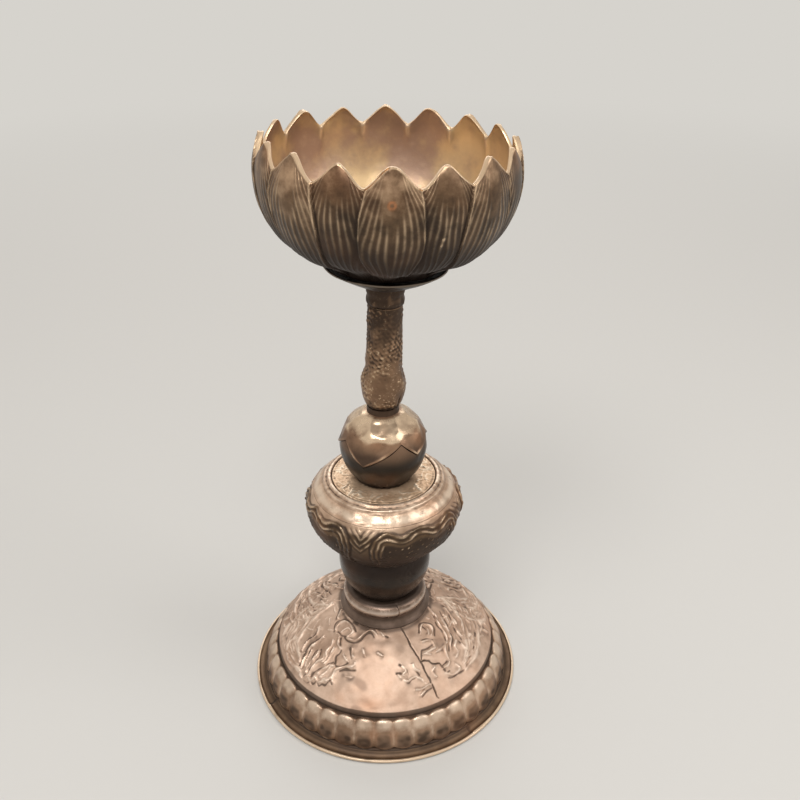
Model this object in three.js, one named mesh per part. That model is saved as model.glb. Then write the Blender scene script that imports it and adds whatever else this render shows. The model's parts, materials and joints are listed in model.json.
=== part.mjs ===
// A lotus candle holder: hollow copper sections stacked on one iron tie rod.
// Millimetres, +Z up, the origin at the middle of the foot, the front towards -Y.
import * as THREE from "three";

// Walls, small edges and the gap between pieces of the leaning top
const sheetWall = 0.9;
const edgeRound = 0.3;
const seatGap = 0.3;

// Base dome
const domeRadius = 36;
const domeEdgeHeight = 2.1;
const domeRise = 13.9;
const domeCrown = 1.5;
const boreRadius = 8.5;

// Gadroon band, whose ledge carries the dome
const grooveWidth = 1.3;
const ledgeWidth = 3.6;
const gadroonSpread = 3.5;
const gadroonHeight = 8.9;
const gadroonCount = 40;
const gadroonDepth = 0.8;
const gadroonWall = 0.8;

// Foot rim
const footMargin = 3.3;
const footRimHeight = 1.6;
const footSeatWidth = 2.1;
const footLipHeight = 1.1;
const footLipWidth = 0.9;
const footDishDepth = 0.6;
const footDishWidth = 1.2;

// Collar on the dome
const collarFootRadius = 14.6;
const collarFootHeight = 1.2;
const collarWaistRadius = 12.9;
const collarWaistHeight = 3.3;
const collarCrestRadius = 13.1;
const collarCrestHeight = 5.6;
const collarHeight = 7.9;
const collarLipWidth = 1.2;

// Neck bowl between the collar and the drum
const neckFootRadius = 10.2;
const neckRadius = 14.6;
const neckWidestHeight = 10.4;
const neckTopRadius = 13;
const neckHeight = 16.1;

// Drum: its lower part carries lappets whose wavy tops meet the plain shoulder
const drumRadius = 24.2;
const drumWidestHeight = 16.4;
const drumSeamInset = 2.6;
const drumSeamHeight = 21.9;
const drumRidgeRadius = 16.7;
const drumRidgeHeight = 0.9;
const drumRidgeWidth = 0.8;
const drumHeight = 26.6;
const drumFullness = 0.45;
const drumBow = 0.7;
const seamSlope = 0.05; // the drum's two walls end level at the seam, however flat they come in
const lappetCount = 4;
const lappetTurn = 28.5; // degrees from the front to the middle of the first lappet
const lappetWaves = 3;
const lappetWaveDepth = 1;
const lappetGap = 0.16; // share of each lappet's room that is left between two
const lappetRelief = 0.5;
const plateThickness = 1;
const plateDepth = 0.2;
const plateClearance = 0.3;
const plateLedgeWidth = 4;

// Bud, whose upper half ends in petals that hang over the lower one
const budFootRadius = 8.3;
const budRadius = 13.2;
const budWidestHeight = 11.1;
const budHeight = 24.5;
const budFullness = 0.65;
const budSplitHeight = 13;
const budPetalCount = 5;
const budPetalLength = 6.4;
const budPetalTurn = 46.5; // degrees from the front to the first petal tip
const budPetalStep = 0.45;
const budNeckRadius = 4.8;
const budNeckHeight = 2;

// Stem
const stemFootRadius = 5.35;
const stemFootRound = 1.1;
const stemSwellRadius = 6.42;
const stemSwellHeight = 6.5;
const stemRadius = 4.9;
const stemLength = 31.5;
const stemRingStep = 0.45;
const stemRingHeight = 1.9;
const stemCollarHeight = 5.4;

// Saucer under the cup
const saucerRadius = 17.1;
const saucerRise = 4.9;
const saucerWall = 0.8;
const saucerSag = 0.35;

// Lotus cup
const cupFootInset = 1.5;
const cupRadius = 34;
const cupWidestHeight = 24.5;
const cupTipRadius = 31.9;
const cupHeight = 34.5;
const cupFullness = 0.85;
const cupWall = 1.2;
const petalPairs = 8;
const petalNotchDepth = 5.2;
const petalCrown = 0.9;
const petalTurn = 2.3; // degrees from the front to the first petal

// Tie rod, its pricket and what clamps the stack
const rodRadius = 1.9;
const rodPlay = 1.6; // radial room in the stem, the bud, the saucer and the cup
const rodTailLength = 2.2;
const pricketShoulder = 1;
const pricketLength = 8.5;
const pricketTipRadius = 0.25;
const nutClearance = 0.25;
const nutAcross = 7.6;
const nutHeight = 3;
const washerClearance = 0.6;
const washerRadius = 6.5;
const washerThickness = 0.9;
const bridgeSeatWidth = 3.9;
const bridgeThickness = 1.2;

// The stem and the cup stand a little out of true on the bud
const topLean = 1.7; // degrees towards +X

// Radii that follow from the pieces they meet
const gadroonTopRadius = domeRadius + grooveWidth;
const gadroonFootRadius = gadroonTopRadius + gadroonSpread;
const footRadius = gadroonFootRadius + footMargin;
const drumSeamRadius = drumRadius - drumSeamInset;
const plateRadius = drumRidgeRadius - drumRidgeWidth - plateClearance;
const rodBore = rodRadius + rodPlay;

// Heights of the seats, from the table up
const ledgeHeight = footRimHeight + gadroonHeight;
const domeTop = ledgeHeight + domeEdgeHeight + domeRise;
const collarTop = domeTop + collarHeight;
const drumFoot = collarTop + neckHeight;
const drumSeam = drumFoot + drumSeamHeight;
const drumTop = drumFoot + drumHeight;
const plateTop = drumTop - plateDepth;
const plateSeat = plateTop - plateThickness;
const budSplit = plateTop + budSplitHeight;
const budTop = plateTop + budHeight;

// Heights in the leaning top, from the foot of the stem up
const stemCollarFoot = stemLength + seatGap;
const saucerFoot = stemCollarFoot + stemCollarHeight + seatGap;
const cupFoot = saucerFoot + saucerRise + saucerWall + seatGap;
const cupFloor = cupFoot + cupWall;

const degree = Math.PI / 180;
const at = (radius, height) => new THREE.Vector2(radius, height);
const mix = THREE.MathUtils.lerp;

const copper = (color, roughness) =>
  new THREE.MeshStandardMaterial({ color, roughness, metalness: 1 });
const darkCopper = copper(0x6b5341, 0.42);
const wornCopper = copper(0x8d6a50, 0.36);
const cupCopper = copper(0x76614c, 0.5);
const castCopper = copper(0x5d412c, 0.6);
const iron = new THREE.MeshStandardMaterial({ color: 0x3c3632, roughness: 0.75, metalness: 0.8 });

// A smooth outline through a few points
function outline(knots, steps) {
  return new THREE.SplineCurve(knots).getPoints(steps);
}

// A quarter curve that widens from a foot and ends upright; a lower fullness brings it nearer a cone
function flare(foot, widest, steps, fullness = 1) {
  return Array.from({ length: steps + 1 }, (_, i) => {
    const turn = ((i / steps) * Math.PI) / 2;
    return at(
      mix(foot.x, widest.x, Math.sin(turn) ** (1 / fullness)),
      mix(widest.y, foot.y, Math.cos(turn)),
    );
  });
}

// A quarter curve that starts upright and closes in level at its top
function shoulder(widest, top, steps) {
  return Array.from({ length: steps + 1 }, (_, i) => {
    const turn = ((i / steps) * Math.PI) / 2;
    return at(mix(top.x, widest.x, Math.cos(turn)), mix(widest.y, top.y, Math.sin(turn)));
  });
}

// A line between two points, bowed out to its right
function bowed(start, end, steps, bow) {
  const across = end.clone().sub(start).normalize();
  return Array.from({ length: steps + 1 }, (_, i) => {
    const lift = Math.sin((i / steps) * Math.PI) * bow;
    return start
      .clone()
      .lerp(end, i / steps)
      .add(at(across.y * lift, -across.x * lift));
  });
}

// The radius of an outline at a height, from points that rise one after another
function radiusAt(points, height) {
  const next = points.findIndex((point) => point.y >= height);
  if (next <= 0) return points[next < 0 ? points.length - 1 : 0].x;
  const [low, high] = [points[next - 1], points[next]];
  return mix(low.x, high.x, (height - low.y) / (high.y - low.y));
}

// A point of either side of a wall moved to another height, along the outline that the wall follows
function slid(point, height, side) {
  return at(point.x + radiusAt(side, height) - radiusAt(side, point.y), height);
}

// The points of an outline moved inwards, to the left of its direction, by the thickness of a wall.
// An end that slopes more than the flattest slope is cut level, and any other upright.
function inner(points, wall, flattest = 1) {
  const last = points.length - 1;
  const directions = points.slice(1).map((point, i) => point.clone().sub(points[i]).normalize());
  return points.map((point, i) => {
    const into = directions[Math.max(i - 1, 0)];
    const out = directions[Math.min(i, last - 1)];
    const along = into.clone().add(out).normalize();
    if (i % last === 0) {
      return Math.abs(along.y) > Math.abs(along.x) * flattest
        ? at(point.x - Math.sign(along.y) * wall, point.y)
        : at(point.x, point.y + Math.sign(along.x) * wall);
    }
    const reach = wall / Math.max(out.dot(along), 0.5);
    return at(point.x - along.y * reach, point.y + along.x * reach);
  });
}

// A closed section: the outer side from the bottom to the top, and back down a plainer inner side
function sheetSection(points, flattest) {
  const isSeat = (i) => i < 2 || i > points.length - 3;
  const kept = inner(points, sheetWall, flattest).filter((_, i) => isSeat(i) || i % 3 === 0);
  return [...points, ...kept.reverse()];
}

// A section turned about Z from the front to the right; reshape may move each point of each side
function turned(section, sides, reshape = (point) => point) {
  const closed = section[0].x > 0;
  const points = closed ? [...section, section[0]] : section;
  const geometry = new THREE.LatheGeometry(points, sides);
  geometry.rotateX(Math.PI / 2);
  const position = geometry.getAttribute("position");
  for (let i = 0; i < position.count; i++) {
    const side = Math.floor(i / points.length) % sides;
    const row = (i % points.length) % section.length;
    const angle = (side / sides) * 2 * Math.PI;
    const moved = reshape(section[row], angle, row);
    position.setXYZ(i, moved.x * Math.sin(angle), -moved.x * Math.cos(angle), moved.y);
  }
  geometry.deleteAttribute("normal");
  geometry.deleteAttribute("uv");
  return geometry;
}

// How far an angle lies from the nearest of count evenly spaced centres, from 0 to 1 halfway between
function fromCentre(angle, count, turn = 0) {
  const share = ((angle - turn) * count) / (2 * Math.PI);
  return Math.abs(share - Math.round(share)) * 2;
}

const model = new THREE.Group();

// The stem, the saucer and the cup hang on one turned group
const leaning = new THREE.Group();
leaning.position.z = budTop + seatGap;
leaning.rotation.y = topLean * degree;
model.add(leaning);

function piece(name, geometry, material, carrier = model) {
  const mesh = new THREE.Mesh(geometry, material);
  mesh.name = name;
  carrier.add(mesh);
  return mesh;
}

function makeFootRim() {
  const lipInner = footRadius - footLipWidth;
  const seatInner = gadroonFootRadius - footSeatWidth;
  const section = [
    at(seatInner, 0),
    at(footRadius - edgeRound, 0),
    at(footRadius, footLipHeight / 2),
    at(footRadius - edgeRound, footLipHeight),
    at(lipInner, footLipHeight),
    at(lipInner - footDishWidth, footLipHeight - footDishDepth),
    at(gadroonFootRadius + edgeRound, footRimHeight),
    at(seatInner, footRimHeight),
  ];
  piece("foot_rim", turned(section, 44), wornCopper);
}

function makeGadroonBand() {
  const foot = at(gadroonFootRadius, footRimHeight);
  const lobe = shoulder(foot, at(gadroonTopRadius, ledgeHeight - edgeRound), 3);
  const innerFoot = gadroonFootRadius - gadroonDepth - gadroonWall;
  const ledgeUnder = ledgeHeight - gadroonWall;
  const section = [
    ...lobe,
    at(gadroonTopRadius - gadroonDepth - edgeRound, ledgeHeight),
    at(gadroonTopRadius - ledgeWidth, ledgeHeight),
    at(gadroonTopRadius - ledgeWidth, ledgeUnder),
    at(gadroonTopRadius - gadroonDepth - gadroonWall, ledgeUnder),
    at(innerFoot, footRimHeight),
  ];
  const scallop = (point, angle, row) => {
    const across = fromCentre(angle, gadroonCount, Math.PI / gadroonCount);
    return row < lobe.length ? at(point.x - across ** 2 * gadroonDepth, point.y) : point;
  };
  piece("gadroon_band", turned(section, gadroonCount * 3, scallop), wornCopper);
}

function makeBaseDome() {
  const edge = at(domeRadius, ledgeHeight + domeEdgeHeight);
  const crown = bowed(edge, at(collarFootRadius + edgeRound, domeTop), 5, domeCrown);
  const outer = [at(domeRadius, ledgeHeight), ...crown, at(boreRadius, domeTop)];
  piece("base_dome", turned(sheetSection(outer), 40), wornCopper);
}

function makeBaseCollar() {
  const side = outline(
    [
      at(collarFootRadius, domeTop + collarFootHeight),
      at(collarWaistRadius, domeTop + collarWaistHeight),
      at(collarCrestRadius, domeTop + collarCrestHeight),
      at(neckFootRadius + collarLipWidth + edgeRound, collarTop - edgeRound),
    ],
    5,
  );
  const outer = [
    at(boreRadius, domeTop),
    at(collarFootRadius, domeTop),
    ...side,
    at(neckFootRadius + collarLipWidth, collarTop),
    at(boreRadius, collarTop),
  ];
  piece("base_collar", turned(sheetSection(outer), 28), darkCopper);
}

function makeNeckBowl() {
  const widest = at(neckRadius, collarTop + neckWidestHeight);
  const outer = [
    at(boreRadius, collarTop),
    ...flare(at(neckFootRadius, collarTop), widest, 4),
    ...shoulder(widest, at(neckTopRadius, drumFoot), 3).slice(1),
    at(boreRadius, drumFoot),
  ];
  piece("neck_bowl", turned(sheetSection(outer), 28), darkCopper);
}

// The drum's lower part: lappets raised from the seat up to a wavy line under the seam
function makeDrumLower() {
  const widest = at(drumRadius - lappetRelief, drumFoot + drumWidestHeight);
  const seam = at(drumSeamRadius, drumSeam);
  const side = [
    ...flare(at(neckTopRadius, drumFoot), widest, 5, drumFullness),
    ...bowed(widest, seam, 5, drumBow).slice(1),
  ];
  const raise = (point, angle, row) => {
    if (row < 2 || row > side.length) return point;
    const across = fromCentre(angle, lappetCount, lappetTurn * degree);
    const wave = (Math.cos(across * lappetWaves * Math.PI) - 1) / 2;
    const height = mix(point.y, drumSeam + wave * lappetWaveDepth - lappetRelief, row / side.length);
    const rise = across < 1 - lappetGap && row < side.length ? lappetRelief : 0;
    return at(point.x + rise, row < side.length ? Math.min(height, point.y) : point.y);
  };
  const outer = [at(boreRadius, drumFoot), ...side];
  piece("drum_lower", turned(sheetSection(outer, seamSlope), lappetCount * 14, raise), darkCopper);
}

function makeDrumUpper() {
  const side = [
    ...bowed(
      at(drumSeamRadius, drumSeam),
      at(drumRidgeRadius + drumRidgeWidth, drumTop - drumRidgeHeight),
      4,
      drumBow,
    ),
    at(drumRidgeRadius, drumTop),
  ];
  const recess = plateRadius + plateClearance;
  const outer = [
    ...side,
    at(recess, drumTop),
    at(recess, plateSeat),
    at(recess - plateLedgeWidth, plateSeat),
  ];
  piece("drum_upper", turned(sheetSection(outer, seamSlope), 40), wornCopper);

  const plate = [
    at(rodBore, plateSeat),
    at(plateRadius, plateSeat),
    at(plateRadius, plateTop - edgeRound),
    at(plateRadius - edgeRound, plateTop),
    at(rodBore, plateTop),
  ];
  piece("drum_top_plate", turned(plate, 28), darkCopper);
}

// The two halves of the bud meet along the edge of the hanging petals, which comes and goes with the angle
function budEdge(angle) {
  return (fromCentre(angle, budPetalCount, budPetalTurn * degree) - 0.5) * budPetalLength;
}

function makeBud() {
  const widest = at(budRadius, plateTop + budWidestHeight);
  const neckFoot = budTop - budNeckHeight;
  const crown = (neckFoot - widest.y) / Math.sqrt(1 - (budNeckRadius / budRadius) ** 2);
  const side = [
    ...flare(at(budFootRadius, plateTop), widest, 16, budFullness),
    ...shoulder(widest, at(0, widest.y + crown), 24).slice(1),
  ];
  const rows = (low, high, steps) =>
    Array.from({ length: steps + 1 }, (_, i) => {
      const height = mix(low, high, i / steps);
      return at(radiusAt(side, height), height);
    });
  const follow = (still) => (point, angle) => {
    const share = THREE.MathUtils.clamp((point.y - still) / (budSplit - still), 0, 1);
    return share > 0 ? slid(point, point.y + budEdge(angle) * share, side) : point;
  };

  const cup = rows(plateTop, budSplit, 5).map((point) => at(point.x - budPetalStep, point.y));
  const cupOuter = [at(rodBore, plateTop), ...cup];
  const cupRound = turned(sheetSection(cupOuter), budPetalCount * 6, follow(plateTop + sheetWall));
  piece("bud_lower", cupRound, darkCopper);

  const cap = rows(budSplit + seatGap, neckFoot, 6);
  const capOuter = [...cap, at(budNeckRadius, neckFoot + edgeRound), at(budNeckRadius, budTop)];
  const capRound = turned(sheetSection(capOuter), budPetalCount * 6, follow(neckFoot - sheetWall));
  piece("bud_upper", capRound, wornCopper);
}

function makeStem() {
  const side = outline(
    [
      at(stemFootRadius, stemFootRound),
      at(stemSwellRadius, stemSwellHeight),
      at(mix(stemRadius, stemSwellRadius, 0.45), stemSwellHeight * 1.9),
      at(mix(stemRadius, stemSwellRadius, 0.15), stemSwellHeight * 3),
      at(stemRadius, stemLength - edgeRound),
    ],
    9,
  );
  const section = [
    at(rodBore, 0),
    at(stemFootRadius - stemFootRound / 2, 0),
    ...side,
    at(stemRadius - edgeRound, stemLength),
    at(rodBore, stemLength),
  ];
  piece("stem_tube", turned(section, 20), castCopper, leaning);

  const top = stemCollarFoot + stemCollarHeight;
  const ring = stemRadius + stemRingStep;
  const collar = [
    at(rodBore, stemCollarFoot),
    at(ring - edgeRound, stemCollarFoot),
    at(ring, stemCollarFoot + edgeRound),
    at(ring, stemCollarFoot + stemRingHeight),
    at(stemRadius, stemCollarFoot + stemRingHeight + stemRingStep),
    at(ring, top),
    at(rodBore, top),
  ];
  piece("stem_collar", turned(collar, 20), castCopper, leaning);
}

function makeSaucer() {
  const seat = at(stemRadius + stemRingStep + edgeRound, saucerFoot);
  const rim = at(saucerRadius - edgeRound, saucerFoot + saucerRise);
  const middle = at(mix(seat.x, rim.x, 0.5), mix(seat.y, rim.y, 0.5 - saucerSag / 2));
  const outer = [at(rodBore, saucerFoot), ...outline([seat, middle, rim], 4)];
  const section = [
    ...outer,
    at(saucerRadius, rim.y + saucerWall / 2),
    ...inner(outer, saucerWall).reverse(),
  ];
  piece("cup_saucer", turned(section, 28), darkCopper, leaning);
}

// Sixteen petals: broad ones in front and narrow ones behind, each with a pointed tip
function makeLotusCup() {
  const footRadiusOut = saucerRadius - cupFootInset;
  const widest = at(cupRadius, cupFoot + cupWidestHeight);
  const tip = at(cupTipRadius, cupFoot + cupHeight);
  const closing = outline([widest, at(mix(cupRadius, cupTipRadius, 0.3), mix(widest.y, tip.y, 0.5)), tip], 12);
  const smooth = [...flare(at(footRadiusOut, cupFoot), widest, 24, cupFullness), ...closing.slice(1)];
  const shares = [0.05, 0.12, 0.22, 0.35, 0.5, 0.65, 0.78, 0.9, 1];
  const bowl = shares.map((share) => {
    const height = cupFoot + cupHeight * share;
    return at(radiusAt(smooth, height), height);
  });
  const lining = inner(bowl, cupWall).filter((_, i) => i % 2 === 0);
  lining[0] = at(bowl[0].x - cupWall, cupFloor);
  const section = [
    at(rodBore, cupFoot),
    at(footRadiusOut - edgeRound, cupFoot),
    ...bowl,
    ...lining.reverse(),
    at(rodBore, cupFloor),
  ];
  const outerEnd = 2 + bowl.length;
  const notchBase = widest.y - petalNotchDepth;

  const petals = (point, angle, row) => {
    if (row < 2 || row > section.length - 3) return point;
    const share = fromCentre(angle, petalPairs * 2);
    const notch = petalNotchDepth * mix((1 - Math.cos(Math.PI * share)) / 2, share, 0.4);
    const above = THREE.MathUtils.clamp((point.y - notchBase) / (tip.y - notchBase), 0, 1);
    const height = point.y - notch * above;
    const moved = slid(point, height, smooth);
    if (row >= outerEnd) return moved;
    const spread = fromCentre(angle, petalPairs); // 0 on a front petal, 1 on one behind
    const edge = mix(2 / 3, 1 / 2, above);
    const crown =
      spread < edge
        ? Math.cos((spread / edge) * Math.PI * 0.5)
        : 0.5 * Math.cos(((1 - spread) / (1 - edge)) * Math.PI * 0.5);
    return at(moved.x + (crown - 0.5) * petalCrown * (1 - above), height);
  };
  const cup = piece("lotus_cup", turned(section, petalPairs * 12, petals), cupCopper, leaning);
  cup.rotation.z = petalTurn * degree;
}

function washer(outerRadius, foot, thickness) {
  const bore = rodRadius + washerClearance;
  return turned(
    [
      at(bore, foot),
      at(outerRadius, foot),
      at(outerRadius, foot + thickness - edgeRound),
      at(outerRadius - edgeRound, foot + thickness),
      at(bore, foot + thickness),
    ],
    16,
  );
}

// A hexagonal nut with a round bore
function nut(foot) {
  const corner = nutAcross / 2 / Math.cos(30 * degree);
  const shape = new THREE.Shape();
  for (let i = 0; i < 6; i++) {
    const angle = i * 60 * degree;
    shape[i ? "lineTo" : "moveTo"](corner * Math.cos(angle), corner * Math.sin(angle));
  }
  shape.closePath();
  shape.holes.push(new THREE.Path().absarc(0, 0, rodRadius + nutClearance, 0, 2 * Math.PI, true));
  const geometry = new THREE.ExtrudeGeometry(shape, {
    depth: nutHeight,
    bevelEnabled: false,
    curveSegments: 12,
  });
  geometry.translate(0, 0, foot);
  return geometry;
}

function makeClamp() {
  const cupWasherFoot = cupFloor + seatGap;
  const cupNutFoot = cupWasherFoot + washerThickness + seatGap;
  piece("cup_washer", washer(washerRadius, cupWasherFoot, washerThickness), iron, leaning);
  piece("cup_nut", nut(cupNutFoot), iron, leaning);

  const bridgeFoot = domeTop - sheetWall - bridgeThickness;
  const baseWasherFoot = bridgeFoot - washerThickness;
  const baseNutFoot = baseWasherFoot - nutHeight;
  piece("base_bridge", washer(boreRadius + bridgeSeatWidth, bridgeFoot, bridgeThickness), iron);
  piece("base_washer", washer(washerRadius, baseWasherFoot, washerThickness), iron);
  piece("base_nut", nut(baseNutFoot), iron);

  // The rod runs straight from the middle of the base nut to the middle of the leaning cup nut
  const base = new THREE.Vector3(0, 0, baseNutFoot + nutHeight / 2);
  const top = new THREE.Vector3(0, 0, cupNutFoot + nutHeight / 2);
  leaning.updateMatrixWorld(true);
  const between = top.applyMatrix4(leaning.matrixWorld).sub(base);
  const tail = -nutHeight / 2 - rodTailLength;
  const spikeFoot = between.length() + nutHeight / 2 + pricketShoulder;
  const section = [
    at(0, tail),
    at(rodRadius - edgeRound, tail),
    at(rodRadius, tail + edgeRound),
    at(rodRadius, spikeFoot),
    at(rodRadius * 0.62, spikeFoot + pricketLength * 0.45),
    at(pricketTipRadius, spikeFoot + pricketLength - pricketTipRadius),
    at(0, spikeFoot + pricketLength),
  ];
  const rod = piece("pricket_rod", turned(section, 16), iron);
  rod.position.copy(base);
  rod.rotation.y = Math.atan2(between.x, between.z);
}

makeFootRim();
makeGadroonBand();
makeBaseDome();
makeBaseCollar();
makeNeckBowl();
makeDrumLower();
makeDrumUpper();
makeBud();
makeStem();
makeSaucer();
makeLotusCup();
makeClamp();

export default model;
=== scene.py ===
import json
import math

import bpy
import numpy as np
from mathutils import Matrix, Vector


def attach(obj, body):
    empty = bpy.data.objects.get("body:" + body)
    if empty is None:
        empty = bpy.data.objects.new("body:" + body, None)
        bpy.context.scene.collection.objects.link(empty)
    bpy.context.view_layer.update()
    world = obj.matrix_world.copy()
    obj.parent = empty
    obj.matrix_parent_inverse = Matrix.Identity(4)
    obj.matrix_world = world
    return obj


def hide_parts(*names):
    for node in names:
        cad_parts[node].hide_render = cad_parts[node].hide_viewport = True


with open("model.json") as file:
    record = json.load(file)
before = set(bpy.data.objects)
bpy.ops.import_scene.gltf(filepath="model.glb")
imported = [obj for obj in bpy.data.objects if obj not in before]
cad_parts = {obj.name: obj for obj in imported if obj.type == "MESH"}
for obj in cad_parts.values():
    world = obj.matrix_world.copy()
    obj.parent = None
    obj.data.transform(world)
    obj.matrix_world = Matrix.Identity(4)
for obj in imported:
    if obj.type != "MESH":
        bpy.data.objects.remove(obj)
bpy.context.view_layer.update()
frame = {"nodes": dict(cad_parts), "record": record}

nodes = frame["nodes"]
mm = 0.001
leanAbout = 101.7  # height in millimetres at which the stem and the cup lean
leanAngle = 1.7  # degrees towards +X
sheetWall = 0.9
boreRadius = 8.5  # of the hole through the base, the neck and the drum
rodBore = 3.6  # of the hole for the tie rod in the pieces above
mergeDistance = 0.002 * mm
smoothAngle = 60  # degrees between two faces, up to which their edge is shaded smooth


# Shader building

class Value:  # a shader socket that can be written into an expression
    def __init__(self, finish, socket):
        self.finish = finish
        self.socket = socket

    def maths(self, operation, first, second):
        return self.finish.node("ShaderNodeMath", {"operation": operation}, {0: first, 1: second})

    def __add__(self, other):
        return self.maths("ADD", self, other)

    __radd__ = __add__

    def __sub__(self, other):
        return self.maths("SUBTRACT", self, other)

    def __rsub__(self, other):
        return self.maths("SUBTRACT", other, self)

    def __mul__(self, other):
        return self.maths("MULTIPLY", self, other)

    __rmul__ = __mul__

    def __pow__(self, other):
        return self.maths("POWER", self, other)


class Finish:  # a node tree and the one way its nodes are made
    def __init__(self, owner):
        self.owner = owner
        owner.use_nodes = True
        self.tree = owner.node_tree
        self.tree.nodes.clear()

    def node(self, kind, settings=None, sockets=None, out=0):
        made = self.tree.nodes.new(kind)
        for key, value in (settings or {}).items():
            setattr(made, key, value)
        for key, value in (sockets or {}).items():
            if isinstance(value, Value):
                self.tree.links.new(value.socket, made.inputs[key])
            else:
                made.inputs[key].default_value = value
        return Value(self, made.outputs[out]) if made.outputs else None

    def noise(self, scale, detail=3, stretch=(1, 1, 1), rough=0.5):
        place = self.node("ShaderNodeTexCoord", out="Object")
        turned = self.node("ShaderNodeMapping", None, {"Vector": place, "Scale": stretch})
        sockets = {"Vector": turned, "Scale": scale, "Detail": detail, "Roughness": rough}
        return self.node("ShaderNodeTexNoise", None, sockets)

    def between(self, value, low, high, start=0.0, end=1.0):  # a smooth step from start to end
        sockets = {"Value": value, "From Min": low, "From Max": high, "To Min": start, "To Max": end}
        return self.node("ShaderNodeMapRange", {"interpolation_type": "SMOOTHSTEP"}, sockets)

    def blend(self, share, first, second):
        return self.node("ShaderNodeMix", {"data_type": "RGBA"}, {0: share, 6: first, 7: second}, out=2)

    def attribute(self, name):
        return self.node("ShaderNodeAttribute", {"attribute_name": name}, out="Fac")


def srgb(red, green, blue):  # from a colour as it is seen, 0 to 255, to what a shader takes
    def linear(channel):
        share = channel / 255
        return share / 12.92 if share <= 0.04045 else ((share + 0.055) / 1.055) ** 2.4
    return (linear(red), linear(green), linear(blue), 1.0)


# Finishes

copperLook = {  # what a user would change on any of the finishes
    "dark": (92, 68, 52), "middle": (133, 103, 82), "worn": (196, 163, 136),
    # the dirt tone also stands for painted shade, and the worn tone for painted highlights
    "dirt": (42, 30, 23), "blush": (178, 120, 80),
    "cloudScale": 55, "mottleScale": 260, "grainScale": 2600,
    # how strongly wear and painted highlights, dirt and painted shade in hollows, and painted shade on
    # surfaces facing down are laid on
    "wear": 0.5, "grime": 0.8, "underGrime": 0.75, "blushShare": 0.12,
    "roughness": 0.4, "metallic": 0.6,
    "grainDepth": 0.02, "dentDepth": 0.1, "scratchDepth": 0.0,
    "fleck": 0.0, "ribDepth": 0.0, "ribShade": 0.0, "second": None,
}


def patinaFinish(name, **changes):  # brown copper: dark in the hollows, worn bright on what stands proud; the same blends also lay on painted shade and painted highlights
    look = {**copperLook, **changes}
    tones = [srgb(*look[key]) for key in ("dark", "middle", "worn", "dirt", "blush")]
    dark, middle, bright, dirt, blush = tones
    finish = Finish(bpy.data.materials.new(name))
    cloud = finish.noise(look["cloudScale"], 4)
    mottle = finish.noise(look["mottleScale"], 5, rough=0.6)
    grain = finish.noise(look["grainScale"], 3)
    relief = finish.attribute("relief")
    tone = finish.between(cloud * 0.55 + mottle * 0.45, 0.36, 0.64)
    colour = finish.blend(tone, dark, middle)
    height = grain * look["grainDepth"] + mottle * look["dentDepth"]
    if look["ribDepth"]:  # fine ribs that follow the petals
        phase = finish.attribute("rib")
        wave = finish.node("ShaderNodeMath", {"operation": "COSINE"}, {0: phase * (2 * math.pi)})
        wave = (wave * 0.5 + 0.5) ** 2.6
        each = finish.node("ShaderNodeMath", {"operation": "FLOOR"}, {0: phase + 0.5})
        chance = finish.node("ShaderNodeTexWhiteNoise", {"noise_dimensions": "1D"}, {"W": each * 7.3})
        rib = wave * finish.attribute("ribbed") * (chance * 0.6 + 0.4)
        height = height + rib * look["ribDepth"]
        furrow = (1 - wave) ** 3 * finish.attribute("ribbed")
        colour = finish.blend(furrow * 0.35, colour, dirt)
        shade = rib * finish.between(mottle, 0.35, 0.6, 0.35, 1.0)
        colour = finish.blend(shade * look["ribShade"], colour, bright)
    if look["second"]:  # two other colours where the surface is noted as second
        blotch = finish.between(cloud * 0.8 + mottle * 0.2, 0.4, 0.6)
        other = finish.blend(blotch, *(srgb(*pair) for pair in look["second"]))
        colour = finish.blend(finish.attribute("second"), colour, other)
    # above zero the noted values lighten towards the worn tone: wear together with painted highlights
    worn = finish.between(mottle * 0.5 + cloud * 0.3 + relief * 0.5, 0.42, 0.78)
    colour = finish.blend(worn * look["wear"], colour, bright)
    if look["fleck"]:  # small bright specks: painted glints, also raised a little as bumps
        fleck = finish.between(finish.noise(1500, 2), 0.6, 0.7) * finish.between(mottle, 0.42, 0.6)
        colour = finish.blend(fleck * look["fleck"], colour, bright)
        height = height + fleck * 0.12
    # below zero they darken towards the dirt tone: dirt in the hollows together with painted shade
    hollow = finish.between(relief, 0.0, -0.8)
    colour = finish.blend(hollow * look["grime"], colour, dirt)
    # surfaces that face down are darkened towards the dirt tone: painted shade
    colour = finish.blend(finish.attribute("under") * look["underGrime"], colour, dirt)
    warm = finish.between(finish.noise(look["cloudScale"] * 0.7, 2, stretch=(1.3, 0.8, 1.1)), 0.56, 0.7)
    warm = warm * look["blushShare"] + finish.attribute("warm") * mottle
    colour = finish.blend(warm, colour, blush)
    if look["scratchDepth"]:
        scratch = finish.noise(700, 2, stretch=(1, 1, 0.06))
        line = finish.between(scratch, 0.6, 0.72)
        height = height - line * look["scratchDepth"]
        colour = finish.blend(line * 0.3, colour, bright)
    rough = look["roughness"] + (mottle - 0.5) * 0.3 + hollow * 0.2 - worn * 0.06
    bump = finish.node("ShaderNodeBump", None, {"Strength": 1.0, "Distance": mm, "Height": height})
    surface = finish.node("ShaderNodeBsdfPrincipled", None, {
        "Base Color": colour,
        "Metallic": look["metallic"],
        "Roughness": rough,
        "Normal": bump,
    })
    finish.node("ShaderNodeOutputMaterial", None, {"Surface": surface})
    return finish.owner


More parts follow.
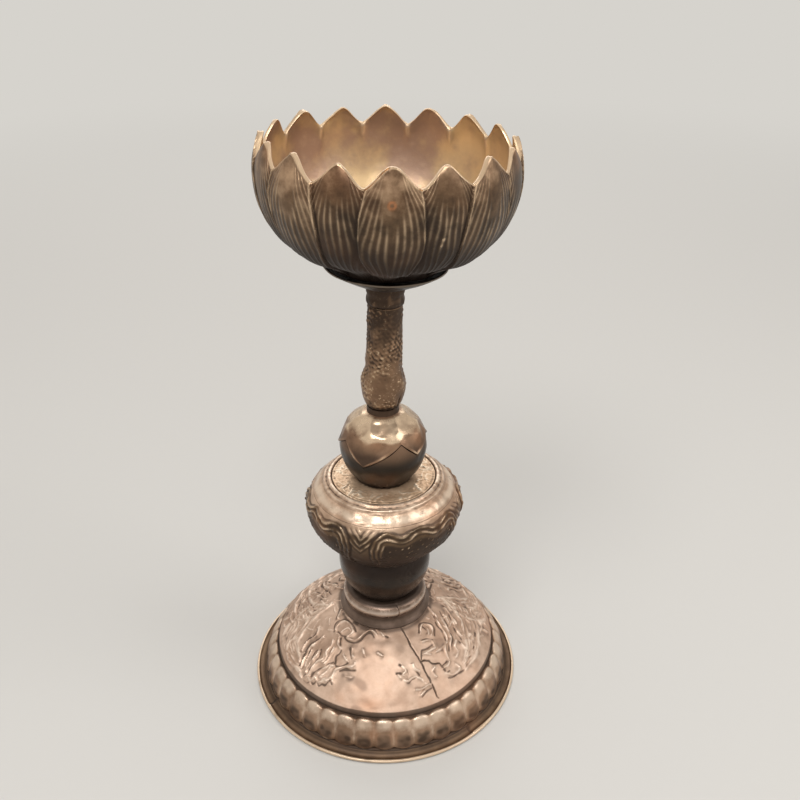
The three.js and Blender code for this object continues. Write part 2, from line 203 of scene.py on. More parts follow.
wornCopper = patinaFinish("wornCopper")
darkCopper = patinaFinish(
    "darkCopper", dark=(44, 38, 32), middle=(62, 53, 44), worn=(199, 180, 159),
    wear=0.3, scratchDepth=0.05,
)
# the cast copper of the stem and its collar, strewn with painted glints
castCopper = patinaFinish(
    "castCopper", dark=(106, 80, 59), middle=(150, 118, 90), worn=(242, 212, 174),
    cloudScale=70, dentDepth=0.3, fleck=0.75,
)
petalCopper = patinaFinish(
    "petalCopper", dark=(57, 44, 31), middle=(117, 92, 68), worn=(238, 207, 170),
    wear=0.7, underGrime=0.95,
    ribDepth=0.22, ribShade=0.5, second=((220, 190, 146), (172, 142, 122)), blushShare=0.05,
)
budCopper = patinaFinish(
    "budCopper", dark=(108, 80, 60), middle=(158, 124, 97), worn=(248, 222, 188),
    roughness=0.3, dentDepth=0.05, wear=0.6, underGrime=0.9,
)
# the bud's lower cup: near black, with browner tones where noted as second, which are painted light
budCupCopper = patinaFinish(
    "budCupCopper", dark=(31, 24, 16), middle=(48, 38, 27), worn=(214, 188, 158), roughness=0.34,
    second=((96, 72, 55), (138, 108, 85)),
)
drumCopper = patinaFinish(
    "drumCopper", dark=(68, 52, 36), middle=(109, 85, 62), worn=(222, 194, 163),
    roughness=0.34, wear=0.65,
    second=((160, 131, 107), (208, 178, 152)),
)
shoulderCopper = patinaFinish(
    "shoulderCopper", dark=(162, 132, 108), middle=(214, 184, 158), worn=(250, 230, 206),
    roughness=0.36, dentDepth=0.14,
)
# paler than the plate's metal: painted light in the recess that the bud and the cup shade
plateCopper = patinaFinish(
    "plateCopper", dark=(200, 165, 132), middle=(236, 205, 172), worn=(250, 236, 212), dentDepth=0.2,
)
bowlCopper = patinaFinish("bowlCopper", dark=(42, 34, 28), middle=(68, 55, 45), wear=0.12, roughness=0.22)
collarCopper = patinaFinish(
    "collarCopper", dark=(106, 86, 72), middle=(150, 125, 108), worn=(238, 218, 200), roughness=0.26,
)
domeCopper = patinaFinish(
    "domeCopper", dark=(174, 143, 121), middle=(208, 179, 157), worn=(250, 230, 210),
    wear=0.5, grime=0.72, dentDepth=0.08, blushShare=0.15, roughness=0.48,
)
lobeCopper = patinaFinish(
    "lobeCopper", dark=(132, 104, 82), middle=(170, 139, 114), worn=(248, 226, 202),
)
rimCopper = patinaFinish(
    "rimCopper", dark=(96, 73, 54), middle=(128, 101, 76), worn=(240, 214, 184), wear=0.8,
)
rodIron = patinaFinish("rodIron", dark=(38, 32, 28), middle=(70, 58, 50), roughness=0.7)
slotFinish = {
    "worn_copper": wornCopper, "dark_copper": darkCopper, "cup_copper": petalCopper,
    "cast_copper": castCopper, "iron": rodIron,
}
slotOf = {part["node"]: part["material_slot"] for part in frame["record"]["subparts"]}
for name, piece in nodes.items():
    piece.data.materials.clear()
    piece.data.materials.append(slotFinish[slotOf[name]])
print("finishes done")


# Lines and turned walls

def smoothLine(knots, count):  # that many points on a smooth line through the knots
    knots = np.asarray(knots, float)
    along = np.r_[0, np.cumsum(np.linalg.norm(np.diff(knots, axis=0), axis=1))]
    slope = np.gradient(knots, along, axis=0)
    place = np.linspace(0, along[-1], count)
    span = np.clip(np.searchsorted(along, place, side="right") - 1, 0, len(knots) - 2)
    width = (along[span + 1] - along[span])[:, None]
    share = (place - along[span])[:, None] / width
    back = 1 - share
    return (
        (1 + 2 * share) * back**2 * knots[span] + share * back**2 * width * slope[span]
        + (1 + 2 * back) * share**2 * knots[span + 1] - back * share**2 * width * slope[span + 1]
    )


def startMesh(name):  # a new object that holds one point, in edit mode
    bpy.ops.object.select_all(action="DESELECT")
    bpy.ops.mesh.primitive_plane_add(size=mm)
    made = bpy.context.object
    made.name = made.data.name = name
    bpy.ops.object.mode_set(mode="EDIT")
    bpy.ops.mesh.select_mode(type="VERT")
    bpy.ops.mesh.select_all(action="SELECT")
    bpy.ops.mesh.merge(type="CENTER")
    return made


def turnOnAxis(name, outline, sides):  # the closed outline, radius and height, turned about the upright axis
    made = startMesh(name)
    places = [Vector((radius, 0, height)) * mm for radius, height in outline]
    bpy.ops.transform.translate(value=places[0])
    for here, there in zip(places, places[1:] + places[:1]):
        bpy.ops.mesh.extrude_region_move(TRANSFORM_OT_translate={"value": there - here})
    bpy.ops.mesh.select_all(action="SELECT")
    bpy.ops.mesh.remove_doubles(threshold=mergeDistance)
    bpy.ops.object.mode_set(mode="OBJECT")
    bpy.ops.object.modifier_add(type="SCREW")
    lathe = made.modifiers[-1]
    lathe.steps = lathe.render_steps = sides
    bpy.ops.object.modifier_apply(modifier=lathe.name)
    bpy.ops.object.mode_set(mode="EDIT")
    bpy.ops.mesh.select_all(action="SELECT")
    bpy.ops.mesh.remove_doubles(threshold=mergeDistance)
    bpy.ops.mesh.normals_make_consistent(inside=False)
    bpy.ops.object.mode_set(mode="OBJECT")
    return made


def ripple(places, wavelength, seed, waves=14):  # soft unevenness, about -1 to 1
    chance = np.random.default_rng(seed)
    ways = chance.normal(size=(waves, 3))
    pitch = chance.uniform(0.6, 1.4, (waves, 1)) * 2 * math.pi / wavelength
    ways *= pitch / np.linalg.norm(ways, axis=1, keepdims=True)
    return np.sin(places @ ways.T + chance.uniform(0, 2 * math.pi, waves)).sum(axis=1) / math.sqrt(waves)


def bell(distance, width):
    return np.exp(-((distance / width) ** 2))


def ramp(value, low, high):
    share = np.clip((value - low) / (high - low), 0, 1)
    return share * share * (3 - 2 * share)


def fromCentre(azimuth, count, turn=0.0):  # signed degrees from the nearest of count even centres
    span = 360 / count
    return (azimuth - turn + span / 2) % span - span / 2


def scattered(flat, count, low, high, lengths, width, seed):  # short strokes strewn over a ring
    chance = np.random.default_rng(seed)
    raised = np.zeros(len(flat))
    for stroke in range(count):
        turn, radius = chance.uniform(0, 2 * math.pi), chance.uniform(low, high)
        way, length, bold = chance.uniform(0, math.pi), chance.uniform(*lengths), chance.uniform(0.4, 1)
        away = flat - radius * np.array([math.cos(turn), math.sin(turn)])
        along = away @ np.array([math.cos(way), math.sin(way)])
        aside = away @ np.array([-math.sin(way), math.cos(way)]) + 0.25 * along**2 / length
        past = np.clip(np.abs(along) - length / 2, 0, None)
        raised = np.maximum(raised, bold * bell(np.hypot(aside, past), width))
    return raised


def onWall(azimuth, radius, height):  # azimuth 0 is the front
    turn = np.radians(azimuth)
    return np.stack([radius * np.sin(turn), -radius * np.cos(turn), height], axis=1)


class Turned:  # a turned wall whose points can be moved by formula, in millimetres and degrees
    def __init__(self, name, outline, sides):
        outline = np.asarray(outline, float)
        self.object = turnOnAxis(name, outline, sides)
        places = np.empty(len(self.object.data.vertices) * 3)
        self.object.data.vertices.foreach_get("co", places)
        self.start = places.reshape(-1, 3) / mm
        self.azimuth = np.degrees(np.arctan2(self.start[:, 0], -self.start[:, 1]))
        self.radius = np.hypot(self.start[:, 0], self.start[:, 1])
        self.height = self.start[:, 2].copy()
        along = np.roll(outline, -1, 0) - np.roll(outline, 1, 0)
        along /= np.linalg.norm(along, axis=1, keepdims=True)
        apart = (self.radius[:, None] - outline[:, 0]) ** 2 + (self.height[:, None] - outline[:, 1]) ** 2
        self.row = apart.argmin(axis=1)
        self.outward = np.stack([along[self.row, 1], -along[self.row, 0]], axis=1)
        self.notes = {}

    def lift(self, amount):  # along the wall's own outward direction
        self.radius = self.radius + self.outward[:, 0] * amount
        self.height = self.height + self.outward[:, 1] * amount

    def beside(self, azimuth):  # millimetres round the wall from an azimuth
        return np.radians(fromCentre(self.azimuth, 1, azimuth)) * self.radius

    def near(self, azimuth, height, size):  # 1 at a place on the wall, fading out around it
        return bell(np.hypot(self.beside(azimuth), self.height - height), size)

    def ripple(self, wavelength, seed):
        return ripple(self.start, wavelength, seed)

    def above(self, low, high):  # 0 under the lower height, 1 over the higher one
        return ramp(self.height, low, high)

    def beyond(self, low, high):  # the same for two radii
        return ramp(self.radius, low, high)

    def note(self, name, values):
        self.notes[name] = np.clip(values, -8, 64)

    def finish(self, material, replaced, leaning=False):
        mesh = self.object.data
        # painted shade: how far each point faces down, so that it is darkened
        self.note("under", ramp(-self.outward[:, 1], 0.05, 0.9))
        mesh.vertices.foreach_set("co", (onWall(self.azimuth, self.radius, self.height) * mm).ravel())
        for name, values in self.notes.items():
            mesh.attributes.new(name, "FLOAT", "POINT").data.foreach_set("value", values.astype(np.float32))
        finishPiece(self.object, material, replaced, leaning)


def finishPiece(piece, material, replaced, leaning):
    if leaning:
        middle = Matrix.Translation((0, 0, leanAbout * mm))
        piece.data.transform(middle @ Matrix.Rotation(math.radians(leanAngle), 4, "Y") @ middle.inverted())
    piece.data.update()
    piece.data.materials.clear()
    piece.data.materials.append(material)
    bpy.ops.object.select_all(action="DESELECT")
    piece.select_set(True)
    bpy.context.view_layer.objects.active = piece
    bpy.ops.object.shade_smooth_by_angle(angle=math.radians(smoothAngle))
    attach(piece, "root")
    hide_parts(replaced)
    print(piece.name, len(piece.data.vertices), "points")


def slideAlong(shell, line, target):  # moves points along a line to new heights, keeping their depth
    fine = smoothLine(line, 500)
    order = np.argsort(fine[:, 1])
    there, here = (np.interp(height, fine[order, 1], fine[order, 0]) for height in (target, shell.height))
    shell.radius = shell.radius + there - here
    shell.height = target


# Lotus cup

cup = {
    "line": [
        (15.4, 145.2), (15.9, 146.0), (19.9, 149.0), (26.6, 152.4), (29.9, 156.0), (32.5, 161.0),
        (33.7, 166.0), (33.9, 171.2), (33.2, 175.6), (31.9, 179.4),
    ],
    "sides": 720, "rows": 96, "wall": 1.1,
    "petals": 8, "turn": 2.3,  # broad petals, and degrees from the front to the first
    "notch": 5.0, "valleyRound": 0.86, "slideFrom": 167.0, "rimUneven": 0.16,
    # millimetres that each tip is short of the top, and how pointed it is, from the front petal on
    "tips": [
        (0.3, 1.85), (0.25, 1.5), (0.0, 1.35), (0.3, 1.6), (0.5, 1.45), (0.1, 1.7), (0.2, 1.5), (0.0, 1.75),
        (0.1, 1.6), (0.3, 1.45), (0.0, 1.8), (0.2, 1.5), (0.4, 1.65), (0.1, 1.4), (0.0, 1.3), (0.3, 1.35),
    ],
    # share of the height, and degrees from a petal's middle to its edge or to its outermost ribs
    "halfWidth": [(0, 5.5), (0.08, 8.1), (0.2, 10.8), (0.35, 13.1), (0.5, 13.8), (0.65, 13.4), (0.78, 12.2),
                  (0.86, 11.1)],
    "ribWidth": [(0, 5.8), (0.08, 8.4), (0.2, 11.0), (0.35, 13.0), (0.48, 12.8), (0.62, 10.8), (0.75, 8.2),
                 (0.86, 5.6), (1.0, 2.6)],
    "crown": 0.5, "edgeRidge": 0.24, "edgeGroove": 0.22, "setBack": 0.3, "ribsAcross": 8,
    "drips": [(23.5, 162.5, 0.5), (23, 160.8, 0.4)],  # azimuth, height and size
    "ringMark": (2.0, 171.2), "ringRadius": 0.75, "ringWidth": 0.28,  # azimuth and height, millimetres
}


def makeLotusCup():
    outer = smoothLine(cup["line"], cup["rows"])
    foot, top = outer[0, 1], outer[-1, 1]
    shift = np.array([-cup["wall"], 0.0])
    rim = [outer[-1] + shift * share + [0, 0.2 * math.sin(math.pi * share)] for share in (0.2, 0.5, 0.8)]
    rim += [outer[-1] + shift, outer[-1] + shift + [0.1, -0.3]]
    along = np.gradient(outer, axis=0)
    along /= np.linalg.norm(along, axis=1, keepdims=True)
    thick = cup["wall"] * np.linspace(1.4, 1.0, cup["rows"])[:, None]
    inward = outer + thick * np.stack([-along[:, 1], along[:, 0]], axis=1)
    inner = smoothLine([(14.6, 146.4), *inward[11::12]], 26)[::-1]
    floor = [(13.0, 146.4), (9.0, 146.4), (3.5, 146.4), (3.5, 145.2), (9.0, 145.2)]
    shell = Turned("lotusCup", np.vstack([outer, rim, inner[1:], floor]), cup["sides"])
    outside = shell.row < len(outer)
    onRim = (shell.row >= len(outer) - 1) & (shell.row < len(outer) + len(rim) - 1)
    inside = shell.row >= len(outer) + 2

    # the rim comes down to a notch between every two petals
    step = 180 / cup["petals"]
    tip = np.round((shell.azimuth - cup["turn"]) / step).astype(int) % len(cup["tips"])
    short, pointed = np.array(cup["tips"])[tip].T
    across = np.abs(fromCentre(shell.azimuth, cup["petals"] * 2, cup["turn"])) / (step / 2)
    bend = math.pi / 2 * cup["valleyRound"]
    drop = cup["notch"] * (np.sin(across * bend) / math.sin(bend)) ** (pointed + 0.2) + short * (1 - across)
    drop = drop + cup["rimUneven"] * (1 + np.clip(ripple(shell.start * [1, 1, 0], 4, 6), -1, 1))
    above = np.clip((shell.height - cup["slideFrom"]) / (top - cup["slideFrom"]), 0, 1)
    slideAlong(shell, cup["line"], np.where(above > 0, shell.height - drop * above, shell.height))

    # broad petals in front, the others set back behind them
    share = (shell.height - foot) / (top - foot)
    fallen = np.clip((top - shell.height - short) / cup["notch"], 0, 1)
    width = np.interp(share, *np.transpose(cup["halfWidth"]))
    rimWidth = step / 2 * np.arcsin(fallen ** (1 / (pointed + 0.2)) * math.sin(bend)) / bend
    width = np.minimum(width, np.where(fallen < 1, rimWidth, 99))
    width = np.maximum(width * (1 + 0.025 * shell.ripple(17, 3)), 0.05)
    frontTurn = np.abs(fromCentre(shell.azimuth, cup["petals"], cup["turn"]))
    behindTurn = np.abs(fromCentre(shell.azimuth, cup["petals"], cup["turn"] + step))
    frontShare, behindShare = frontTurn / width, behindTurn / width
    gap = (frontTurn - width) * np.radians(shell.radius)  # millimetres past a front petal's edge
    inFront = ramp(-gap, -0.15, 0.15)
    crown = cup["crown"] * np.cos(np.clip(frontShare, 0, 1) * math.pi / 2) ** 0.8
    crown = crown + cup["edgeRidge"] * bell(gap + 0.4, 0.3)
    crown = crown - 0.2 * bell(share - 0.9, 0.07) * bell(frontShare, 0.6)
    behind = 0.45 * np.cos(np.clip(behindShare, 0, 1) * math.pi / 2) - cup["setBack"]
    behind = behind - cup["edgeGroove"] * bell(gap - 0.3, 0.4)
    shape = (inFront * crown + (1 - inFront) * behind) * ramp(share, 0.0, 0.08)
    hollow = (0.3 * bell(1 - across, 0.14) - 0.25 * (1 - across)) * ramp(share, 0.6, 0.85)
    drip = sum(shell.near(*place) for place in cup["drips"])
    shape = shape + 0.3 * drip
    shell.lift(np.where(outside, shape, inside * hollow * ~onRim) + 0.1 * shell.ripple(14, 5) * ~onRim)

    # ribs that run up each petal and lean in towards its tip
    ribWidth = np.interp(share, *np.transpose(cup["ribWidth"]))
    ribShare = np.where(inFront > 0.5, frontTurn, behindTurn) / ribWidth
    rib = ribShare * cup["ribsAcross"] / 2 + 0.2 * shell.ripple(13, 8) + 0.5
    shell.note("rib", rib)
    ends = 0.3 * np.clip(ribShare, 0, 1.15) + 0.07 * np.sin(np.round(rib) * 5.1 + tip * 2.7)
    shell.note("ribbed", np.where(outside & ~onRim, 1 - ramp(share, 0.52 + ends, 0.66 + ends), 0))
    relief = 0.55 * bell(gap + 0.35, 0.25) - 0.6 * bell(gap - 0.3, 0.35)
    relief = relief - 0.25 * (1 - inFront) * (1 - ramp(share, 0.6, 0.85))
    # darker towards the foot: painted shade
    relief = relief - 0.85 * (1 - ramp(share, 0.08, 0.62)) + 1.5 * drip
    # a painted highlight towards the petal tips, also tinted warm below
    glow = ramp(share, 0.62, 0.92) * (0.4 + 0.6 * ramp(shell.ripple(16, 9), -0.8, 0.8))
    relief = relief + 0.24 * glow * np.where(inFront > 0.5, 1, 0.5)
    # inside: painted highlights on the folds behind the notches, and painted shade towards the bottom
    strokes = bell(1 - across, 0.1) * ramp(share, 0.72, 0.8)
    relief = np.where(outside, relief, 0.9 * strokes - 0.25 * (1 - ramp(share, 0.05, 0.35)))
    # the rim's edge is lighter: wear together with a painted highlight
    shell.note("relief", np.where(onRim, 1.3, relief))
    shell.note("second", inside * 1.0)
    azimuth, height = cup["ringMark"]
    fromMark = np.hypot(shell.beside(azimuth), shell.height - height)
    spot = bell(fromMark - cup["ringRadius"], cup["ringWidth"])
    # the warm tint: the ring mark's stain, and the painted highlight near the tips
    shell.note("warm", outside * (1.8 * spot + 0.4 * glow))
    shell.finish(petalCopper, "lotus_cup", leaning=True)


makeLotusCup()
print("cup done")


# Saucer, stem and its collar

stem = {
    "line": [
        (4.7, 101.7), (5.3, 102.6), (6.0, 104.6), (6.42, 107.4), (6.36, 109.8), (5.85, 111.8), (5.4, 113.2),
        (5.22, 116.5), (5.08, 121.0), (4.95, 127.0), (4.9, 133.2),
    ],
    "lumps": 0.12, "pits": 0.09, "crack": (52, 104.2),  # azimuth and height
    "ringLine": [(5.1, 133.5), (5.25, 133.8), (5.3, 135.1), (5.15, 135.7), (5.15, 136.3), (5.3, 136.9),
                 (5.3, 138.2), (5.2, 138.95)],
    "saucerLine": [(5.7, 139.25), (8.2, 139.9), (11.4, 141.4), (14.4, 143.0), (16.9, 144.5)],
}


def makeStem():
    outer = smoothLine(stem["line"], 110)
    bore = np.linspace((rodBore, 133.2), (rodBore, 101.7), 4)
    shell = Turned("stemTube", np.vstack([outer, bore]), 144)
    outside = (shell.row > 0) & (shell.row < len(outer) - 1)
    patchy = ramp(shell.ripple(9, 24), -0.6, 0.9)  # some places are rougher than others
    lumps = stem["lumps"] * shell.ripple(5.5, 21)
    pits = stem["pits"] * shell.ripple(1.3, 22) * (0.3 + patchy)
    azimuth, height = stem["crack"]
    crack = 0.5 * bell(shell.beside(azimuth), 0.3) * bell(shell.height - height, 1.6)
    shell.lift(np.where(outside, lumps + pits - crack, 0))
    # painted shade: a shadow ring at the foot, and the cup's shadow deepening towards the top
    under = 1.2 * (1 - shell.above(102.0, 103.4))
    under = under + 0.45 * shell.above(108, 124) + 0.35 * shell.above(125, 132)
    shell.note("relief", np.where(outside, lumps + pits * 4.5 - crack * 3 - under, 0))
    shell.finish(castCopper, "stem_tube", leaning=True)


def makeStemRing():
    shell = Turned("stemCollar", np.vstack([
        smoothLine(stem["ringLine"], 30), np.linspace((rodBore, 138.95), (rodBore, 133.5), 3),
    ]), 96)
    shell.lift(0.06 * shell.ripple(2.4, 23))
    # darker all over and at its foot: painted shade under the saucer
    shell.note("relief", -0.95 + 0.4 * shell.ripple(3, 25) - 0.3 * bell(shell.height - 133.5, 0.3))
    shell.finish(castCopper, "stem_collar", leaning=True)


def makeSaucer():
    under = smoothLine(stem["saucerLine"], 44)
    lip = [(17.1, 144.75), (17.05, 145.05), (16.6, 145.15)]
    inside = (under[::-4] + [-0.1, 0.75])[1:-2]
    shell = Turned("cupSaucer", np.vstack([
        [(rodBore, 139.25)], under, lip, inside, [(5.0, 140.2), (rodBore, 140.2)],
    ]), 200)
    shell.lift(0.1 * shell.ripple(12, 31) * shell.beyond(4, 9))
    # a painted highlight along the rim's edge, and darker towards the stem
    shell.note("relief", 1.2 * bell(shell.radius - 17.1, 0.1) - 0.6 * (1 - shell.beyond(7, 16)))
    shell.finish(darkCopper, "cup_saucer", leaning=True)


makeStem()
makeStemRing()
makeSaucer()
print("stem done")


# Bud

bud = {
    "line": [
        (8.3, 76.9), (9.1, 77.9), (10.6, 79.8), (12.0, 82.6), (12.9, 85.4), (13.2, 88.0),
        (12.85, 91.0), (11.9, 93.6), (10.2, 96.2), (8.1, 98.0), (6.2, 99.0), (4.8, 99.5),
    ],
    "split": 89.9, "lowerInset": 0.15, "ridge": 0.312, "facetDepth": 0.35,
    # azimuth and height of the petals' edge, tip by tip
    "edge": [(-61, 92.3), (-25.5, 86.6), (27, 93.6), (50, 88.8), (84, 92.6), (118, 86.9), (160, 93.0),
             (190, 87.2), (228, 92.6), (262, 87.2)],
    # azimuth and height of the middles of the hammered facets
    "facets": [(-46, 91.6), (-4, 91.0), (4, 98.6), (44, 92.6), (-50, 97.4), (56, 97.6), (92, 93.0),
               (140, 91.0), (180, 92.4), (222, 91.0), (266, 92.0), (105, 98.0),
               (160, 97.6), (210, 98.2), (262, 97.6)],
}


def petalEdge(azimuth):
    return np.interp(azimuth, *np.transpose(bud["edge"]), period=360)


def followEdge(shell, still, edge):  # slides points so that the wall's end follows the petals
    share = np.clip((shell.height - still) / (edge - still), 0, 1)
    slideAlong(shell, bud["line"], shell.height + (petalEdge(shell.azimuth) - bud["split"]) * share)


def makeBudLower():
    fine = smoothLine(bud["line"], 400)
    wall = fine[fine[:, 1] < bud["split"]][::4] - [bud["lowerInset"], 0]
    inside = (wall[::-3] - [sheetWall, 0])[:-2]
    floor = [(6.5, 77.8), (rodBore, 77.8), (rodBore, 76.9)]
    shell = Turned("budLower", np.vstack([wall, inside, floor]), 240)
    outside = shell.row < len(wall)
    followEdge(shell, 78.2, wall[-1, 1])
    notch = bell(shell.beside(2), 0.5) * bell(shell.height - 77.2, 0.9)
    shell.lift(np.where(outside, (0.1 * shell.ripple(6, 41) - 0.5 * notch) * shell.above(76.9, 77.4), 0))
    drops = ramp(ripple(shell.start * [1, 1, 0.15], 1.3, 42), 1.0, 1.6) * (1 - shell.above(79, 83))
    # darker towards the foot: painted shade
    relief = 0.9 * drops - 0.15 - 0.5 * (1 - shell.above(77.0, 84)) - notch
    shell.note("relief", np.where(outside, relief, -1))
    # browner higher up, towards the petal edges: painted light falling from above
    shell.note("second", outside * 0.9 * shell.above(86.5, 92.5))
    shell.finish(budCupCopper, "bud_lower")


def makeBudUpper():
    fine = smoothLine(bud["line"], 400)
    wall = fine[fine[:, 1] > bud["split"] + 0.15][::2]
    neck = [(4.75, 99.8), (4.7, 100.6), (4.7, 101.35), (3.7, 101.35), (3.7, 98.9)]
    shell = Turned("budUpper", np.vstack([wall, neck, (wall[::-5] - [sheetWall, 0])[2:]]), 360)
    outside = shell.row < len(wall)
    followEdge(shell, 98.6, wall[0, 1])
    azimuth, height = np.transpose(bud["facets"])
    middles = onWall(azimuth, np.interp(height, fine[:, 1], fine[:, 0]), height)
    places = onWall(shell.azimuth, shell.radius, shell.height)
    apart = np.min([np.linalg.norm(places - middle, axis=1) for middle in middles], axis=0)
    facet = np.clip(apart / 4.6, 0, 1) ** 2
    fromEdge = (shell.height - petalEdge(shell.azimuth)) * 0.78
    strong = bell(petalEdge(shell.azimuth) - 88.9, 1.9)  # the edge shows most half way up
    ridge = bell(fromEdge - 0.5, 0.32) * strong * (0.7 + 0.3 * shell.ripple(5, 45))
    fold = bell(shell.height - 95.6 - 0.3 * shell.ripple(7, 43), 0.6)
    fold = fold * bell(fromCentre(shell.azimuth, 1, 3), 26)
    lift = bud["ridge"] * ridge + 0.12 * fold + bud["facetDepth"] * (facet - 1) * ramp(fromEdge, 0.6, 2.6)
    lift = lift + 0.06 * shell.ripple(4, 44) + 0.5 * shell.near(78, 90.5, 4)
    shell.lift(np.where(outside, lift * (1 - shell.above(98.4, 99.3)) * ramp(fromEdge, -0.1, 0.3), 0))
    # painted shadow under the stem's foot, round the neck
    under = 1.3 * shell.above(99.0, 99.8)
    # painted light: lighter towards the top and darker lower down, with painted highlights along the petal
    # edges' ridge, on the fold and on the upper facets
    bright = 0.7 * shell.above(93.5, 97.5) - 1.0 * (1 - shell.above(87.0, 94.6)) - 0.12
    bright = bright + 1.7 * ridge + 0.9 * fold + 0.5 * ramp(facet, 0.6, 1.0) * shell.above(93, 96)
    shell.note("relief", np.where(outside, bright, -1) - under)
    warm = shell.near(2, 96.8, 1.6) + shell.near(-8, 94.4, 1.6) + shell.near(60, 93, 2)
    shell.note("warm", outside * 0.35 * warm)
    shell.finish(budCopper, "bud_upper")


makeBudLower()
makeBudUpper()
print("bud done")


# Drum

drum = {
    "lowerLine": [
        (13.0, 50.5), (14.2, 51.6), (16.4, 54.0), (19.0, 56.8), (21.6, 59.9), (23.2, 63.0), (23.95, 66.4),
        (23.65, 69.0), (22.8, 70.9), (21.7, 72.4),
    ],
    "upperLine": [(21.65, 72.45), (20.8, 73.5), (19.7, 74.6), (18.6, 75.6), (17.9, 76.2)],
    "lappets": 4, "lappetTurn": 28.5,  # degrees from the front to the middle of a lappet
    # height and degrees from a lappet's middle to its side
    "lappetSide": [(50.5, 24), (54, 30), (58, 34.5), (62, 37), (66, 38), (69, 36.5), (71, 33), (72.4, 28)],
    "waveSpan": 27, "waveDepth": 0.8, "borderHeight": 71.3,  # degrees, millimetres
    "lineSpacing": 1.45, "lineDepth": 0.4, "proud": 0.3, "chevronTip": 67.0,
    "strokes": 90, "leaves": 34,  # short chased strokes on the plate
    "slit": -3,  # degrees from the front
}


def makeDrumLower():
    outer = smoothLine(drum["lowerLine"], 104)
    inner = (smoothLine(drum["lowerLine"], 20) - [sheetWall, 0])[::-1]
    floor = [(11.5, 51.4), (boreRadius, 51.4), (boreRadius, 50.5)]
    shell = Turned("drumLower", np.vstack([outer, inner[:-2], floor]), 600)
    outside = shell.row < len(outer)
    wander = shell.ripple(13, 51) + 0.35 * shell.ripple(4.5, 56)
    fromMiddle = fromCentre(shell.azimuth, drum["lappets"], drum["lappetTurn"]) + wander
    wave = drum["waveDepth"] * np.cos(2 * math.pi * fromMiddle / drum["waveSpan"])
    toTop = drum["borderHeight"] + wave + 0.3 * wander - shell.height
    side = np.interp(shell.height, *np.transpose(drum["lappetSide"]))
    toSide = np.radians(side - np.abs(fromMiddle)) * shell.radius
    inward = 0.5 * (toTop + toSide - np.hypot(toTop - toSide, 1.2))  # rounds the corner between the two
    spacing = drum["lineSpacing"]
    line = (0.5 + 0.5 * np.cos(2 * math.pi * (inward / spacing - 0.4))) ** 1.4
    count = np.where(toSide < toTop, 3.0, 2.0)
    bordered = ramp(inward, -0.2, 0.2) * (1 - ramp(inward, (count - 0.1) * spacing, (count + 0.1) * spacing))
    field = ramp(inward, 2.2 * spacing, 3.0 * spacing)
    speck = ramp(shell.ripple(1.1, 54), 0.9, 1.5) * field
    fromGap = fromCentre(shell.azimuth, drum["lappets"], drum["lappetTurn"] + 180 / drum["lappets"])
    rise = shell.height - drum["chevronTip"] - np.abs(fromGap + wander) * 0.42
    top = np.maximum(ramp(-toTop, -0.5, 0.1), shell.above(69.6, 71.4) * ramp(-toSide, -0.4, 0.2))
    between = 1 - ramp(inward, -0.5, -0.1)
    vein = (0.5 + 0.5 * np.cos(2 * math.pi * rise / (spacing * 1.35))) ** 1.4 * between * ramp(rise, -4.5, -3)
    weak = (0.72 + 0.28 * shell.ripple(3.5, 57)) * (0.45 + 0.55 * shell.above(60, 70.5))
    line, vein = line * weak, vein * weak
    lift = drum["proud"] * ramp(inward, -0.15, 0.25)
    lift = lift + drum["lineDepth"] * (line * bordered + vein * 0.8) - 0.12 * field + 0.16 * speck - 0.15
    lift = (lift + 0.12 * shell.ripple(2.2, 55) * bordered) * (1 - shell.above(70.9, 72.2))
    lift = lift * shell.above(50.6, 54) + 0.06 * shell.ripple(5, 53) * shell.above(50.5, 53)
    shell.lift(np.where(outside, lift, 0))
    groove = bell(inward + 0.2, 0.3) + 0.8 * (1 - line) ** 3 * bordered
    groove = groove + 0.8 * (1 - vein) ** 3 * between * ramp(rise, -4, -2)
    relief = 0.85 * line * bordered + 0.8 * vein - 0.75 * groove + 1.3 * speck - 0.65 * field
    # darker towards the bottom: painted shade together with dirt
    relief = relief * (1 - 0.9 * shell.above(71.2, 72.0)) - 0.6 * (1 - shell.above(58, 69))
    shell.note("relief", np.where(outside, relief, -1))
    shell.note("second", outside * top)
    shell.note("warm", outside * 0.3 * ramp(shell.azimuth, 20, 60) * shell.above(63, 71))
    shell.finish(drumCopper, "drum_lower")


